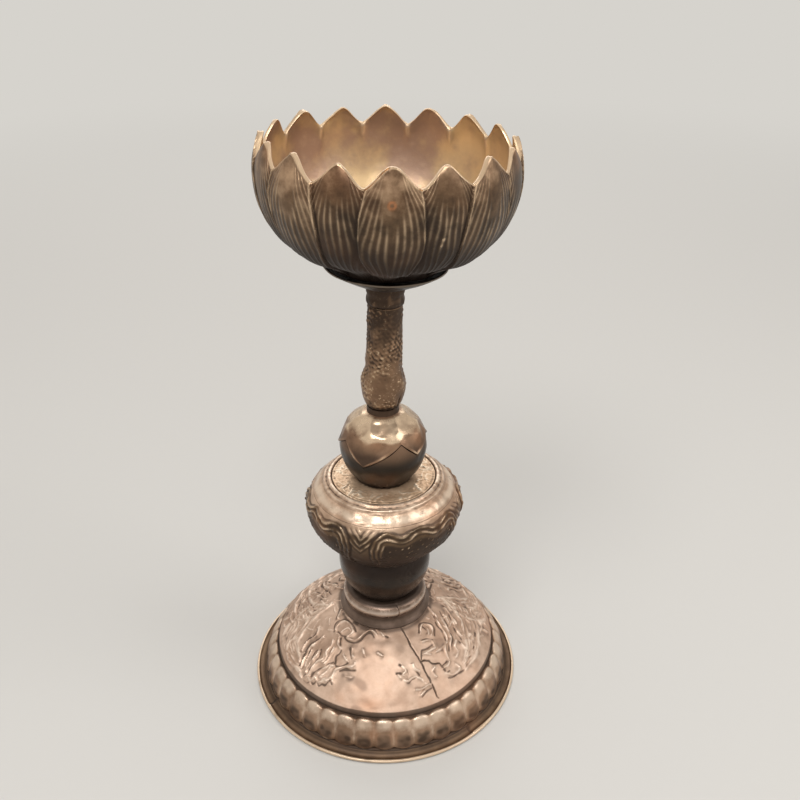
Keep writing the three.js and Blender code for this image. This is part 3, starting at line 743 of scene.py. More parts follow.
def makeDrumUpper():
    outer = smoothLine(drum["upperLine"], 40)
    ridge = [(17.55, 76.45), (17.25, 76.7), (16.95, 76.95), (16.55, 77.05), (16.2, 76.95), (16.05, 76.7),
             (16.0, 76.0)]
    inner = [(11.9, 75.8), (11.9, 74.9), (16.6, 74.9), (18.2, 74.2), (19.6, 73.0), (20.5, 72.3)]
    shell = Turned("drumUpper", np.vstack([outer, ridge, inner]), 300)
    outside = (shell.row > 0) & (shell.row < len(outer) + len(ridge) - 1)
    rings = bell(shell.radius - 17.6, 0.22) + 0.6 * bell(shell.radius - 18.9, 0.3)
    rings = rings - 0.9 * bell(shell.radius - 18.25, 0.25)
    dents = 0.16 * shell.ripple(8, 61) + 0.05 * shell.ripple(3, 63)
    dents = dents * shell.beyond(18, 19.5) * (1 - shell.beyond(21, 21.6))
    slit = bell(shell.beside(drum["slit"]), 1.7) * bell(shell.radius - 15.9, 0.35)
    shell.lift(np.where(outside, dents - 0.14 * rings - 0.5 * slit, 0))
    grainy = 0.25 * shell.ripple(1.6, 62) * (1 - shell.beyond(17.5, 19.5))
    relief = 0.7 * bell(shell.radius - 16.7, 0.4) - 0.6 * rings - 2 * slit + grainy
    # a painted highlight band round the middle of the shoulder; darker along its lower edge
    relief = relief + 0.7 * bell(shell.height - 73.9, 0.9) - 0.25 * (1 - shell.above(72.4, 73.2))
    shell.note("relief", np.where(outside, relief, -0.5))
    shell.note("warm", outside * 0.7 * (shell.near(44, 73.6, 2.6) + 0.5 * shell.near(-38, 73, 1.6)))
    shell.finish(shoulderCopper, "drum_upper")


def makeDrumPlate():
    top = smoothLine([(15.6, 76.8), (14.0, 76.95), (4.0, 77.0)], 84)
    edge = [(8.0, 75.95), (15.7, 75.95), (15.85, 76.1), (15.85, 76.6)]
    shell = Turned("drumTopPlate", np.vstack([[(rodBore, 76.95), (rodBore, 75.95)], edge, top]), 480)
    onTop = shell.height > 76.75
    grains = shell.ripple(1.4, 71)
    strokes = scattered(shell.start[:, :2], drum["strokes"], 11.5, 15.2, (1.2, 3.2), 0.26, 73)
    leaves = scattered(shell.start[:, :2], drum["leaves"], 11.8, 14.2, (2.2, 4.2), 0.5, 74)
    leaves = leaves * ramp(shell.ripple(9, 75), -0.4, 0.6)
    smooth = bell(shell.radius - 9.9, 0.8)
    lift = 0.03 * grains * (1 - smooth) + 0.14 * strokes + 0.24 * leaves
    lift = lift - 0.1 * bell(shell.radius - 15.0, 0.25)
    shell.lift(np.where(onTop, lift, 0))
    shade = 0.8 * (1 - shell.beyond(8.3, 9.0)) + 0.3 * bell(shell.radius - 15.1, 0.25)
    relief = grains * 0.12 * (1 - smooth) + strokes * 0.9 + 1.3 * leaves - 0.12
    shell.note("relief", np.where(onTop, relief, -1) - shade)
    shell.finish(plateCopper, "drum_top_plate")


makeDrumLower()
makeDrumUpper()
makeDrumPlate()
print("drum done")


# Neck bowl and collar

neck = {
    "bowlLine": [(10.2, 34.4), (11.4, 36.2), (13.0, 38.8), (14.1, 41.8), (14.6, 44.8), (14.35, 47.6),
                 (13.0, 50.5)],
    "collarLine": [(14.65, 27.1), (14.25, 27.6), (13.65, 28.3), (13.2, 29.1), (13.1, 30.0), (13.35, 31.0),
                   (13.45, 32.0), (13.1, 33.0), (12.4, 33.8), (11.5, 34.3)],
    "seam": 20.0, "seamStep": 0.35, "cracks": 26,  # degrees from the front, millimetres, degrees
}


def makeNeckBowl():
    outer = smoothLine(neck["bowlLine"], 60)
    inner = (smoothLine(neck["bowlLine"], 14) - [sheetWall, 0])[::-1]
    shell = Turned("neckBowl", np.vstack([
        outer, [(boreRadius, 50.5), (boreRadius, 49.6)],
        inner[1:-1], [(boreRadius, 35.3), (boreRadius, 34.4)],
    ]), 240)
    outside = shell.row < len(outer)
    bent = shell.beside(neck["cracks"]) + 1.4 * shell.ripple(3, 81)
    cracks = bell(bent, 0.35) * shell.above(44, 47) + bell(bent - 2.6, 0.3) * shell.above(45, 47)
    whole = shell.above(34.4, 36) * (1 - shell.above(49, 50.5))
    shell.lift(np.where(outside, (0.08 * shell.ripple(9, 82) - 0.25 * cracks) * whole, 0))
    # darker towards the top: painted shadow under the drum
    shell.note("relief", np.where(outside, -1.0 * shell.above(45, 50) - cracks, -1))
    shell.finish(bowlCopper, "neck_bowl")


def makeCollar():
    side = smoothLine(neck["collarLine"], 56)
    shell = Turned("baseCollar", np.vstack([
        [(boreRadius, 26.5), (14.2, 26.5), (14.5, 26.75)], side,
        [(11.0, 34.4), (boreRadius, 34.4), (boreRadius, 33.5)],
        [(11.6, 32.4), (12.1, 30.0), (13.4, 27.6), (boreRadius, 27.4)],
    ]), 300)
    outside = (shell.row > 2) & (shell.row < 2 + len(side))
    past = fromCentre(shell.azimuth, 1, neck["seam"]) + 0.8 * np.sin(shell.height * 1.9)
    crest = bell(shell.height - 31.8, 1.3)
    lap = neck["seamStep"] * ramp(past, -60, -0.6) * (1 - ramp(past, -0.6, 0.2)) * crest
    seam = bell(past * 0.23, 0.16) * shell.above(30.5, 31.5)
    shell.lift(np.where(outside, lap - 0.25 * seam + 0.06 * shell.ripple(8, 83) * shell.above(27, 28.5), 0))
    # a painted highlight on the crest; painted shade in the waist below it, at the foot by the dome and at
    # the top under the neck bowl; the seam itself is dark
    relief = 0.7 * bell(shell.height - 31.9, 1.0) - 1.2 * seam - 0.6 * bell(shell.height - 29.4, 0.9)
    relief = relief - 0.45 * (1 - shell.above(27.6, 29.2)) - 0.7 * shell.above(33.2, 34.0)
    shell.note("relief", np.where(outside, relief, -1))
    shell.finish(collarCopper, "base_collar")


makeNeckBowl()
makeCollar()
print("neck done")


# Dome with its chased dragons

dome = {
    "line": [(35.7, 12.85), (33.2, 14.95), (29.4, 17.75), (24.6, 21.2), (19.5, 24.35), (14.9, 26.45)],
    "innerLine": [(12.0, 25.6), (14.8, 25.5), (24.2, 20.2), (32.6, 14.0), (35.0, 12.0), (35.0, 10.5)],
    "sides": 640, "rows": 140, "cone": 0.83,  # share of a turn that the dome takes when it is laid flat
    "raisedWidth": 0.32, "raisedLift": 0.44, "cutWidth": 0.25, "cutDepth": 0.34,
    "fieldWidth": 0.27, "fieldLift": 0.3, "boldWidth": 0.5, "boldLift": 0.42,
    "bodyLift": 0.16, "strayStrokes": 420,
    "crack": [(5.6, 17.0), (7.0, 19.7), (8.0, 22.1), (9.7, 25.1), (11.7, 28.3), (12.6, 30.0),
              (15.1, 34.5), (17.2, 38.4)],
    "crackBranch": [(11.7, 28.4), (13.1, 27.7), (14.3, 27.7), (15.3, 28.5), (16.8, 28.3),
                    (18.0, 28.3), (19.1, 29.2)],
}


def lineField(first, last, count, seed):  # broken, uneven lines that flow from one line to another
    chance = np.random.default_rng(seed)
    start, end = smoothLine(first, 30), smoothLine(last, 30)
    lines = []
    for share in np.linspace(0, 1, count):
        line = start + (end - start) * (share + 0.03 * chance.normal()) + chance.normal(0, 0.17, start.shape)
        first, last = chance.integers(0, 5), chance.integers(25, 31)
        middle = chance.integers(11, 19)
        if chance.random() < 0.6:
            lines += [line[first:middle], line[middle + 1:last]]
        else:
            lines.append(line[first:last])
    return lines


# the chased lines on the flattened dome, across and down from its peak, in millimetres
raisedLines = [
    # left head
    [(-16.5, 17), (-16.1, 16), (-14.7, 14.8), (-13.1, 14.5), (-11.5, 15.5), (-10.4, 16.9), (-10.1, 18.2),
     (-10.8, 19.4), (-12.1, 20.1)],
    [(-14.4, 18.6), (-13.5, 17.9), (-11.5, 17.1), (-10.9, 18.1)],
    [(-15.9, 18.5), (-14.8, 19.7), (-14.9, 20.8), (-15.2, 22.2), (-14.1, 23.7)],
    [(-16, 12.9), (-15.8, 11), (-15.3, 9.8)],
    [(-14.6, 10.5), (-13.2, 12.2), (-11.9, 13.4), (-10.4, 14.7)],
    [(-11.9, 20.7), (-10.4, 21.3), (-8.7, 21), (-7.2, 19.9), (-5.9, 18.6), (-4.5, 17.9),
     (-3.2, 18.5), (-2.5, 19.4)],
    [(-2.7, 17.7), (-1.3, 18.4), (-0.1, 19.8)],
    # left mane
    [(-28.6, 10.1), (-28.7, 12.1), (-29.5, 13.7), (-30.1, 14.8), (-31.5, 16.3), (-32.7, 17.8), (-34.1, 18.6),
     (-34.7, 19.9), (-34.7, 21.6)],
    [(-23, 15.5), (-23.3, 17.7), (-24.5, 18.7), (-26.3, 19.7), (-27.6, 21.1), (-28.3, 22.6)],
    [(-20.7, 19.3), (-22.8, 20.5), (-24.4, 21.5), (-25.7, 23.1), (-26.6, 24.6), (-27.3, 26), (-27.7, 27.5),
     (-28, 29), (-27.6, 31.6), (-27, 33.4)],
    [(-24.6, 23), (-25.2, 24.6), (-26, 26.2), (-26.1, 27.9)],
    [(-21.6, 23.7), (-22.2, 25.1), (-23.4, 26.1), (-24.8, 27.6), (-25.4, 28.7), (-25.9, 30.1)],
    [(-20.1, 24.1), (-20, 26.3), (-21.8, 27.3), (-23.5, 29), (-24.6, 30.9), (-26.2, 31.4)],
    [(-17.1, 20.8), (-17.6, 22.7), (-19, 24.5), (-19.1, 26.1), (-20.1, 27.5)],
    [(-16.6, 23.4), (-17.3, 25.3), (-18.4, 26.8), (-19.4, 28.2)],
    [(-19.3, 13), (-19.3, 15)],
    # left feet
    [(-25.8, 32.4), (-25.1, 31.9), (-23.7, 33.1), (-22.5, 31.9), (-21.2, 33.5), (-20.3, 33.5), (-19.2, 32.8),
     (-18.3, 33.5), (-16.8, 32.5), (-16.6, 33.9)],
    [(-21.6, 30.9), (-20.3, 30), (-18.8, 29.2), (-17.5, 28.4)],
    [(-20.4, 32.1), (-19, 31), (-18, 29.9), (-17.2, 29), (-16, 28.9)],
    [(-17, 32.8), (-16.2, 31.3), (-15.5, 30.4), (-14.1, 29.9), (-12.5, 29.7), (-10.8, 29.8), (-9.4, 29.2),
     (-9.1, 28.4)],
    [(-13, 26), (-11.8, 27.4), (-11.2, 28.2)],
    [(-10.3, 24.1), (-10.3, 25.5), (-9.8, 26.5)],
    [(-6.7, 24.5), (-6.3, 26), (-5.9, 26.9)],
    [(-12, 32.4), (-10.3, 32.8)],
    [(-1.9, 25.7), (-0.4, 26.6)],
    [(-33.1, 27.6), (-31.4, 29.4), (-29.2, 30.3), (-28.1, 31.7)],
    # left coils
    [(-39.2, 7.7), (-40.8, 8), (-40.6, 9.5), (-38.6, 11.2), (-37.6, 10.3)],
    [(-40.3, 8), (-42.1, 8.3), (-42, 10.8), (-41, 14.1)],
    [(-34.6, 9.5), (-32.7, 12.1), (-32.9, 14.1)],
    [(-34.6, 15.4), (-33.3, 14.3), (-31.8, 13.1)],
    [(-28.7, 5.7), (-29.6, 7.2), (-27.8, 9.8)],
    [(-25.1, 5), (-23, 7.2), (-23.8, 8.8)],
    # right head
    [(11.7, 19.1), (11.8, 16.9), (12.5, 15.7), (13.9, 15.2), (15.4, 16), (16, 17.5), (15.5, 19.2)],
    [(13.6, 16.5), (14.3, 17.6), (14.5, 19)],
    [(12.6, 21.6), (13.9, 21.3), (15.4, 21.2), (16.2, 22.2), (16.6, 23.4), (15.1, 24.2), (13.2, 25),
     (12.2, 25.8)],
    [(12.9, 25.4), (15.1, 25.5)],
    [(17, 24.7), (18.4, 23.7), (19.9, 22.5), (21.1, 21.3)],
    # right neck
    [(15.6, 8.9), (16.9, 10.8), (18.1, 12.4), (17.9, 14)],
    [(17.9, 14), (19.2, 16), (20.1, 17.7), (20.9, 19.3), (21.2, 20.7)],
    [(20, 12.7), (21.2, 15.4), (21.9, 17), (22.5, 19), (22.5, 21.1), (22.4, 23.2)],
    [(22.4, 8.3), (23.8, 10.4), (24.7, 12.1), (25.5, 13.9)],
    [(25.5, 7.4), (26.5, 9.8), (27, 10.9)],
    [(26.6, 10.1), (27.6, 11.8), (27.8, 14.1)],
    [(24.3, 13.3), (25.5, 15.8), (26.3, 17.4), (27.8, 18.2)],
    [(21.1, 21.3), (20.1, 23.4), (20.5, 25.3), (21.4, 26.8)],
    [(24.6, 20.2), (24, 22.2), (24.9, 23.7), (23.9, 25.5)],
    [(26.5, 20.8), (27.8, 22.2), (28.7, 24.2), (27.3, 26.3)],
    [(24, 4.7), (26.3, 5.2), (27.9, 5.9)],
    [(30.4, 6), (31.9, 6.3), (32.1, 8.5)],
    [(28, 17.2), (29.5, 17.8), (31, 16.3)],
    # right coils
    [(33.9, 6.7), (34.3, 6.8), (36.2, 7.1)],
    [(36.6, 9.7), (37.1, 12.2), (35.5, 14.6)],
    [(33.7, 15.3), (34, 17.9), (33.8, 20.1)],
    [(19.3, 29.5), (20.8, 28.5), (21.3, 27.5)],
    [(20, 31), (22.1, 31.2), (24.3, 29.9), (24.9, 28.5), (23.8, 27.7)],
    [(16.1, 29.4), (15.5, 31.1), (16.7, 32.2)],
    # right claws
    [(5.7, 29.9), (6.9, 31.1), (5.9, 32.2), (6.8, 32.9)],
    [(4.5, 32.4), (5.6, 33.6), (7.3, 34.1), (8.3, 33.2), (10, 32.6), (11.4, 33), (13.1, 34.7)],
    [(8.9, 29), (9.8, 30.5), (11, 31)],
    [(10, 36.5), (12, 36.3), (13.6, 35.2), (14.9, 34.7)],
    [(11.6, 37.9), (12.8, 36.9)],
]
cutLines = [
    # left
    [(-12.9, 20.3), (-12.1, 21.5), (-10.9, 22.1), (-9.1, 22.1), (-7.7, 21.3), (-6.2, 19.6), (-4.9, 18.9),
     (-3.9, 19.1), (-3.3, 20.3)],
    [(-1.7, 17.9), (-0.7, 18.7), (0.3, 19.8), (1.2, 20.3)],
    [(-17.1, 17.7), (-17.3, 15.9), (-16.2, 14.3), (-13.9, 13.8), (-11.8, 14.6), (-10.1, 16.1), (-9.2, 18.1)],
    [(-16.8, 13.6), (-16.6, 11.3), (-16, 9.2), (-15.1, 9.7), (-13, 12.4), (-10.7, 14.4), (-8.9, 15.6)],
    [(-23.5, 16.1), (-24.4, 17.7), (-25.9, 18.8), (-27.5, 20.3), (-28.3, 21.9), (-28.9, 23)],
    [(-22.1, 19.5), (-23.9, 20.2), (-25.2, 21.3), (-26.6, 22.8), (-27.5, 24.3), (-28.1, 25.9), (-28.6, 27.5)],
    [(-24.7, 22.5), (-25.6, 24), (-26.1, 25.6), (-26.6, 27.2), (-27.6, 28.5)],
    [(-22.3, 23.4), (-23.4, 24.3), (-23.9, 25.5), (-24.3, 27.1), (-25.3, 29)],
    [(-21.2, 23.3), (-21.3, 25.5), (-22.6, 27.1), (-23.9, 28.7), (-25.1, 30.1), (-26.6, 31.4)],
    [(-14.2, 20.6), (-14.4, 22.8), (-14, 24.4), (-14.7, 25.5), (-15.7, 26.4), (-15.7, 27.7), (-15.5, 29),
     (-14.1, 29.3), (-12.2, 28.9), (-11.2, 28.2)],
    [(-16.5, 27.8), (-17.9, 28.2), (-19.1, 29.2), (-20.9, 29.6), (-23.1, 30.7), (-23.8, 31.7)],
    [(-26.7, 32.5), (-25.1, 33.4), (-23.8, 33.2), (-22.9, 34), (-21.7, 33.2), (-21, 34.7), (-20, 34.3),
     (-18.9, 34.7), (-17.1, 33.6), (-16.5, 34.8)],
    [(-32.1, 29.2), (-31.2, 30.1), (-29.1, 31), (-27.9, 32.1), (-27.4, 33.3)],
    [(-12.5, 20.1), (-13.9, 19.7), (-15.6, 17.9)],
    [(-12.5, 26), (-11.4, 27.7)],
    [(-10.8, 24.1), (-10.8, 25.5), (-10.2, 27)],
    [(-14, 30.8), (-12.4, 30.6), (-10.6, 30.7), (-9.2, 30.8)],
    # right
    [(11.2, 18.5), (11.7, 15.6), (13.6, 14.7), (15.8, 15.2), (16.8, 16.7), (16.7, 19.2)],
    [(12.8, 16.5), (13.9, 17.6), (14.1, 18.8)],
    [(12.6, 21.2), (14, 20.7), (15.7, 20.9)],
    [(15.8, 22.7), (14.5, 23.6), (12.8, 24.2), (11.9, 24.6), (11.8, 26.4), (12, 27.5)],
    [(17.3, 11.1), (17.2, 13.1), (18.3, 16.2), (19.4, 17.3), (20.2, 18.9), (20.8, 20.6)],
    [(20.2, 9.7), (21, 12.1), (21.8, 13.8), (22.6, 16), (23, 18.1), (23.5, 19.9), (23.2, 22)],
    [(22, 7.4), (23.1, 9.7), (23.8, 11.9), (24.5, 14.5), (25.2, 16.5), (26.2, 18.2), (26.9, 19)],
    [(22.1, 19.5), (22.2, 21.4), (21.7, 23.8)],
    [(26.3, 5.2), (27.5, 6.5), (27.9, 9.4), (28.3, 10.9)],
    [(29.1, 5.7), (30.4, 6), (30.7, 7.7), (30.5, 10.3)],
    [(32.4, 6.4), (33.9, 6.7), (35.7, 7)],
    [(33.7, 14.2), (32.9, 17.3), (31.9, 20.2), (30.5, 22.2), (29.7, 24.3), (28.8, 26.1), (27.3, 28.3),
     (25.9, 29.7), (23.9, 30.8), (22.3, 32), (20.9, 32.4)],
    [(25.9, 20), (27.3, 21.8), (28.6, 22.8)],
    [(19.1, 28.8), (20.6, 27.4)],
    [(19.4, 30.1), (20.2, 30.9), (21.3, 30.1)],
    [(4.9, 29.4), (6, 30.2), (7.3, 30.8), (7.7, 31.8)],
    [(4, 32.1), (5.4, 32.1)],
    [(5.7, 33.8), (7.6, 34.4), (8.7, 33.6), (10.1, 32.9), (11, 31.9)],
    [(8.6, 28.7), (9.5, 30.4), (10.3, 31.2), (11.3, 32.5), (12.7, 34.1)],
    [(10.4, 36.9), (12.6, 36.4)],
    [(12, 38.3), (13.9, 36.6), (15.1, 35.8)],
]
leftBack = [
    (-21.2, 4.2), (-27.2, 5.4), (-33.4, 7.6), (-38.4, 12.8), (-37.6, 20.5), (-33.1, 25.6), (-28.4, 29.0),
]
leftBelly = [
    (-19.8, 6.7), (-22.3, 9.0), (-25.2, 11.6), (-28.6, 15.0), (-30.6, 19.0), (-29.5, 23.0), (-28.5, 26.0),
]
rightSide = [(22.6, 4.5), (27.1, 9.9), (28.4, 15.5), (28.4, 21.4), (26.4, 26.6)]
rightBack = [(25.7, 3.1), (32.2, 6.4), (35.0, 11.5), (34.3, 17.1), (31.1, 24.4), (27.1, 28.9)]
boldLines = [leftBack[1:], leftBelly, rightSide, rightBack[2:]]
fieldLines = [
    *lineField(leftBelly, leftBack, 7, 2),
    *lineField(rightSide, rightBack, 5, 4),
    [(-37.8, 11.0), (-39.5, 13.0), (-37.0, 14.6), (-36.0, 11.8)],
    [(38.3, 9.5), (40.4, 11.4), (39.4, 15.8), (36.4, 21.9)],
]


def nearLine(places, line):  # how far places lie from a line, and how far along it
    fine = smoothLine(line, max(8, int(np.linalg.norm(np.diff(line, axis=0), axis=1).sum() * 5)))
    near, along = np.full(len(places), 99.0), np.zeros(len(places))
    found = np.flatnonzero(((places > fine.min(axis=0) - 3) & (places < fine.max(axis=0) + 3)).all(axis=1))
    apart = np.linalg.norm(places[found, None, :] - fine[None], axis=2)
    near[found] = apart.min(axis=1)
    along[found] = apart.argmin(axis=1) / 5
    return near, along


def chasing(places):  # how far the chased lines stand proud, and how deep they are cut
    raised, deep, body = (np.zeros(len(places)) for part in range(3))
    chance = np.random.default_rng(97)
    for drawing, width, height in (
        (raisedLines, dome["raisedWidth"], dome["raisedLift"]),
        (fieldLines, dome["fieldWidth"], dome["fieldLift"]),
        (boldLines, dome["boldWidth"], dome["boldLift"]),
        (cutLines, dome["cutWidth"], 0),
    ):
        for line in drawing:
            near, along = nearLine(places, line)
            swell = np.sin(along * chance.uniform(0.7, 1.5) + chance.uniform(0, 6))
            mark = bell(near, width * (1 + 0.2 * swell))
            if height:
                raised = np.maximum(raised, height * (0.85 + 0.3 * swell) * mark)
                body = np.maximum(body, bell(near, 1.3))
            else:
                deep = np.maximum(deep, (0.85 + 0.15 * swell) * mark)
    return raised, deep, body


def makeDome():
    outer = smoothLine(dome["line"], dome["rows"])
    edge = [(36.0, 10.5), (36.0, 11.6), (35.98, 12.5)]
    crest = [(14.0, 26.5), (boreRadius, 26.5), (boreRadius, 25.6)]
    inner = smoothLine(dome["innerLine"], 8)
    shell = Turned("baseDome", np.vstack([edge, outer, crest, inner]), dome["sides"])
    top = (shell.row >= len(edge)) & (shell.row < len(edge) + len(outer))
    cone = dome["cone"]
    jagged = 0.11 * np.stack([shell.ripple(2.0, 89), shell.ripple(2.0, 90)], axis=1)
    wobble = 0.14 * np.stack([ripple(shell.start[top], 4.5, 91), ripple(shell.start[top], 4.5, 92)], axis=1)
    raised, deep, body, crack = (np.zeros(len(top)) for part in range(4))
    for centre in (0, 180):  # the same pair of dragons in front and behind
        turn = np.radians(fromCentre(shell.azimuth, 1, centre)) * cone
        flat = np.stack([np.sin(turn), np.cos(turn)], axis=1) * shell.radius[:, None] / cone
        lines, cuts, bodies = chasing(flat[top] + wobble)
        strays = scattered(flat[top], dome["strayStrokes"], 19, 40, (0.8, 3), 0.24, 96)
        strays = strays * ramp(np.abs(turn[top]), 0.72, 0.86) * (1 - ramp(np.abs(turn[top]), 1.3, 1.4))
        raised[top] = np.maximum(raised[top], np.maximum(lines, 0.32 * strays))
        deep[top], body[top] = np.maximum(deep[top], cuts), np.maximum(body[top], bodies)
        if centre == 0:
            for line in (dome["crack"], dome["crackBranch"]):
                crack = np.maximum(crack, bell(nearLine(flat + jagged, line)[0], 0.2))
    plain = 1 - shell.beyond(34.4, 35.2)
    uneven = 0.16 * shell.ripple(15, 93) + 0.06 * shell.ripple(5, 94)
    lift = raised + dome["bodyLift"] * body - dome["cutDepth"] * deep + uneven
    shell.lift(np.where(top, lift * plain - 0.5 * crack, 0))
    rough = shell.ripple(2.2, 99) * body
    relief = (raised * 2.5 - 1.0 * deep * (1 - 2 * raised) - 0.12 * body + 0.2 * rough) * plain - 1.7 * crack
    # painted shade round the foot of the collar and over the dome's sides and back, with random darker
    # blotches as well
    relief = relief - 0.6 * bell(shell.radius - 15, 0.8) - 0.3 * ramp(shell.ripple(7, 98), 0.4, 1.4)
    relief = relief - 0.12 * ramp(np.abs(shell.azimuth), 60, 110)
    # the dome's upright edge at the bottom is dark: painted shade
    shell.note("relief", np.where(top, relief, 0) - 1.3 * (1 - shell.above(12.5, 13.0)))
    warm = 0.7 * bell(np.hypot(shell.beside(-7) * 0.5, shell.radius - 34.2), 1.6)
    warm = warm + 0.3 * shell.beyond(31, 35) * ramp(shell.ripple(9, 95), 0.3, 1.2)
    shell.note("warm", top * warm)
    shell.finish(domeCopper, "base_dome")


makeDome()
print("dome done")


# Gadroon band and foot rim

foot = {
    "lobes": 40, "lobeDepth": 0.6,
    "lobeLine": [(40.7, 1.6), (40.6, 3.4), (40.2, 5.6), (39.4, 7.8), (38.4, 9.5), (37.4, 10.65),
                 (36.6, 11.15)],
    "rimLine": [(43.7, 0.0), (44.0, 0.25), (44.07, 0.6), (43.9, 1.0), (43.45, 1.08), (43.1, 0.8),
                (42.4, 0.62), (41.6, 0.9), (40.9, 1.5)],
    "laps": [-60, 40], "lapStep": 0.32,  # degrees from the front to where the rim's strip overlaps
}


def makeGadroons():
    outer = smoothLine(foot["lobeLine"], 54)
    ledge = [(36.25, 11.1), (36.12, 10.5), (33.7, 10.48), (33.7, 9.7), (35.6, 9.7), (38.6, 6.0), (39.2, 1.6)]
    shell = Turned("gadroonBand", np.vstack([outer, ledge]), foot["lobes"] * 18)
    outside = shell.row < len(outer)
    along = shell.row / (len(outer) - 1)
    wander = 0.35 * shell.ripple(22, 101)
    across = np.abs(fromCentre(shell.azimuth + wander, foot["lobes"])) / (180 / foot["lobes"])
    arch = ramp(1.05 - along - 0.1 * across**2.5, 0.0, 0.1) * ramp(along - 0.08 * across**2.2, 0.0, 0.06)
    swell = ((1 - across**2) * 0.7 + 0.3 * (1 - across**6)) * arch
    lift = foot["lobeDepth"] * (swell - 1) * ramp(along, 0, 0.03) + 0.06 * shell.ripple(9, 102)
    shell.lift(np.where(outside, lift, 0))
    each = 0.6 + 0.4 * ripple(shell.start * [1, 1, 0], 11, 104)
    # painted light on each lobe: a bright crescent at its foot, a highlight on its top and a lighter streak
    # in the valleys
    crescent = bell(along - 0.06, 0.03) * bell(across, 0.45) * each
    valley = bell(1 - across, 0.3)
    blotch = ramp(shell.ripple(3, 105), -1, 1.2)
    tops = ramp(along, 0.42, 0.85) * arch * (1 - 0.7 * valley) * (0.65 + 0.35 * each)
    streak = valley * bell(along - 0.45, 0.28) * (0.5 + 0.5 * each)
    # the dark band across each lobe's middle is a painted reflection of dark surroundings, and the gaps round
    # the lobes are painted shade
    dark = bell(along - 0.3, 0.26) * (1 - valley) * (0.6 + 0.4 * blotch)
    relief = 0.8 * tops + 1.3 * crescent + 0.5 * streak - 0.8 * dark - 1.0 * (1 - arch)
    # the ledge under the dome's edge and the inner faces: dark, painted shade together with dirt
    shell.note("relief", np.where(outside, relief, -1.3))
    hot = bell(fromCentre(shell.azimuth, 1, -4.5), 2.0) + 0.8 * bell(fromCentre(shell.azimuth, 1, 4.5), 2.0)
    warm = 0.7 * hot * bell(along - 0.55, 0.22) + 0.12 * ramp(shell.ripple(14, 103), 0.2, 1)
    shell.note("warm", outside * warm)
    shell.finish(lobeCopper, "gadroon_band")


def makeFootRim():
    outer = smoothLine(foot["rimLine"], 52)
    shell = Turned("footRim", np.vstack([outer, [(38.7, 1.6), (38.7, 0.0)]]), 480)
    upper = (shell.height > 0.25) & (shell.radius > 39.5)
    lift = 0.04 * shell.ripple(12, 111)
    seam = 0
    for place in foot["laps"]:
        past = fromCentre(shell.azimuth, 1, place)
        lift = lift + foot["lapStep"] * ramp(past, 0, 0.4) * (1 - ramp(past, 3, 16))
        seam = seam + bell(past * 0.75, 0.3)
    shell.lift(np.where(upper & (shell.radius < 43.6), lift, 0))
    # the lip is lighter: wear together with a painted highlight; darker near the lobes' feet; the laps' seams
    # are dark
    lip = shell.beyond(43.2, 43.5)
    uneven = 0.75 + 0.25 * shell.ripple(10, 112)
    relief = 1.6 * lip * uneven - 0.35 * bell(shell.radius - 41.2, 0.5) - 0.9 * seam * (1 - lip) - 0.15
    shell.note("relief", np.where((shell.radius > 39.5) & (shell.height > 0.05), relief, -0.5))
    shell.finish(rimCopper, "foot_rim")


makeGadroons()
makeFootRim()
print("foot done")


# Floor, light and camera

studio = {
    "floorSize": 14.0,
    "floorColour": srgb(204, 201, 196),
    "above": srgb(248, 246, 243), "beside": srgb(128, 126, 124),  # the world's light
    "worldStrength": 0.78,
    "backdrop": srgb(214, 211, 205), "fade": (0.3, 1.0),  # how far off the floor turns into it
    "cameraPlace": (0.0050, -0.22783, 0.23188),
    "cameraPitch": 29.587,  # degrees below level
    "lens": 40.5,
}


def seenDirectly(finish):  # 1 for a ray from the camera, or one mirrored on the metal
    ways = ("Is Camera Ray", "Is Glossy Ray", "Is Transmission Ray")
    camera, glossy, through = (finish.node("ShaderNodeLightPath", out=way) for way in ways)
    return camera + glossy + through


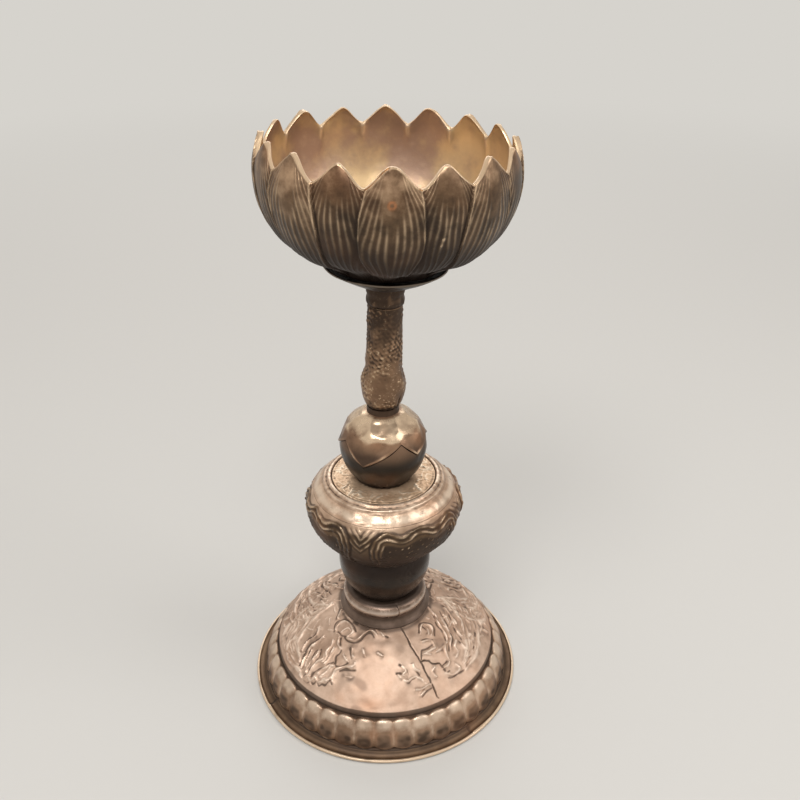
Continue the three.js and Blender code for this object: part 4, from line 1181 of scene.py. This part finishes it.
def makeFloor():
    bpy.ops.object.select_all(action="DESELECT")
    bpy.ops.mesh.primitive_plane_add(size=studio["floorSize"], location=(0, 0, -0.0002))
    floor = bpy.context.object
    floor.name = "floor"
    bpy.ops.object.transform_apply()
    finish = Finish(bpy.data.materials.new("floorPaper"))
    grain = finish.noise(300, 2)
    rough = finish.between(grain, 0.3, 0.7, 0.7, 0.8)
    surface = finish.node("ShaderNodeBsdfPrincipled", None, {
        "Base Color": studio["floorColour"], "Roughness": rough, "Specular IOR Level": 0.2,
    })
    away = finish.node("ShaderNodeVectorMath", {"operation": "LENGTH"}, {
        0: finish.node("ShaderNodeTexCoord", out="Object"),
    }, out="Value")
    paper = finish.node("ShaderNodeEmission", None, {"Color": studio["backdrop"], "Strength": 1.0})
    share = finish.between(away, *studio["fade"]) * seenDirectly(finish)
    mixed = finish.node("ShaderNodeMixShader", None, {0: share, 1: surface, 2: paper})
    finish.node("ShaderNodeOutputMaterial", None, {"Surface": mixed})
    floor.data.materials.append(finish.owner)


def makeLamp(name, place, size, power):
    bpy.ops.object.light_add(type="AREA", location=place)
    lamp = bpy.context.object
    lamp.name = name
    lamp.data.shape = "RECTANGLE"
    lamp.data.size, lamp.data.size_y = size
    lamp.data.energy = power
    aim = Vector((0, 0, 0.09)) - lamp.location
    lamp.rotation_euler = aim.to_track_quat("-Z", "Y").to_euler()


def makeWorld():
    bpy.context.scene.world = bpy.data.worlds.new("studio")
    finish = Finish(bpy.context.scene.world)
    way = finish.node("ShaderNodeTexCoord", out="Generated")
    upward = finish.node("ShaderNodeSeparateXYZ", None, {"Vector": way}, out="Z")
    colour = finish.blend(finish.between(upward, 0.2, 0.75), studio["beside"], studio["above"])
    light = finish.node("ShaderNodeBackground", None, {"Color": colour, "Strength": studio["worldStrength"]})
    paper = finish.node("ShaderNodeBackground", None, {"Color": studio["backdrop"], "Strength": 1.0})
    mixed = finish.node("ShaderNodeMixShader", None, {0: seenDirectly(finish), 1: light, 2: paper})
    finish.node("ShaderNodeOutputWorld", None, {"Surface": mixed})


def makeCamera():
    camera = bpy.data.cameras.new("camera")
    camera.sensor_width = 36
    camera.lens = studio["lens"]
    camera.clip_start = 0.01
    holder = bpy.data.objects.new("camera", camera)
    bpy.context.scene.collection.objects.link(holder)
    holder.location = studio["cameraPlace"]
    holder.rotation_euler = (math.radians(90 - studio["cameraPitch"]), 0, 0)
    bpy.context.scene.camera = holder


makeFloor()
makeLamp("keyLamp", (-0.12, -0.42, 0.74), (0.45, 0.3), 3.3)
makeLamp("fillLamp", (0.55, -0.15, 0.5), (0.35, 0.4), 1.2)
makeLamp("backLamp", (-0.05, 0.8, 0.55), (1.0, 0.3), 2.1)
makeWorld()
makeCamera()
bpy.context.scene.view_settings.view_transform = "Standard"
print("studio done")
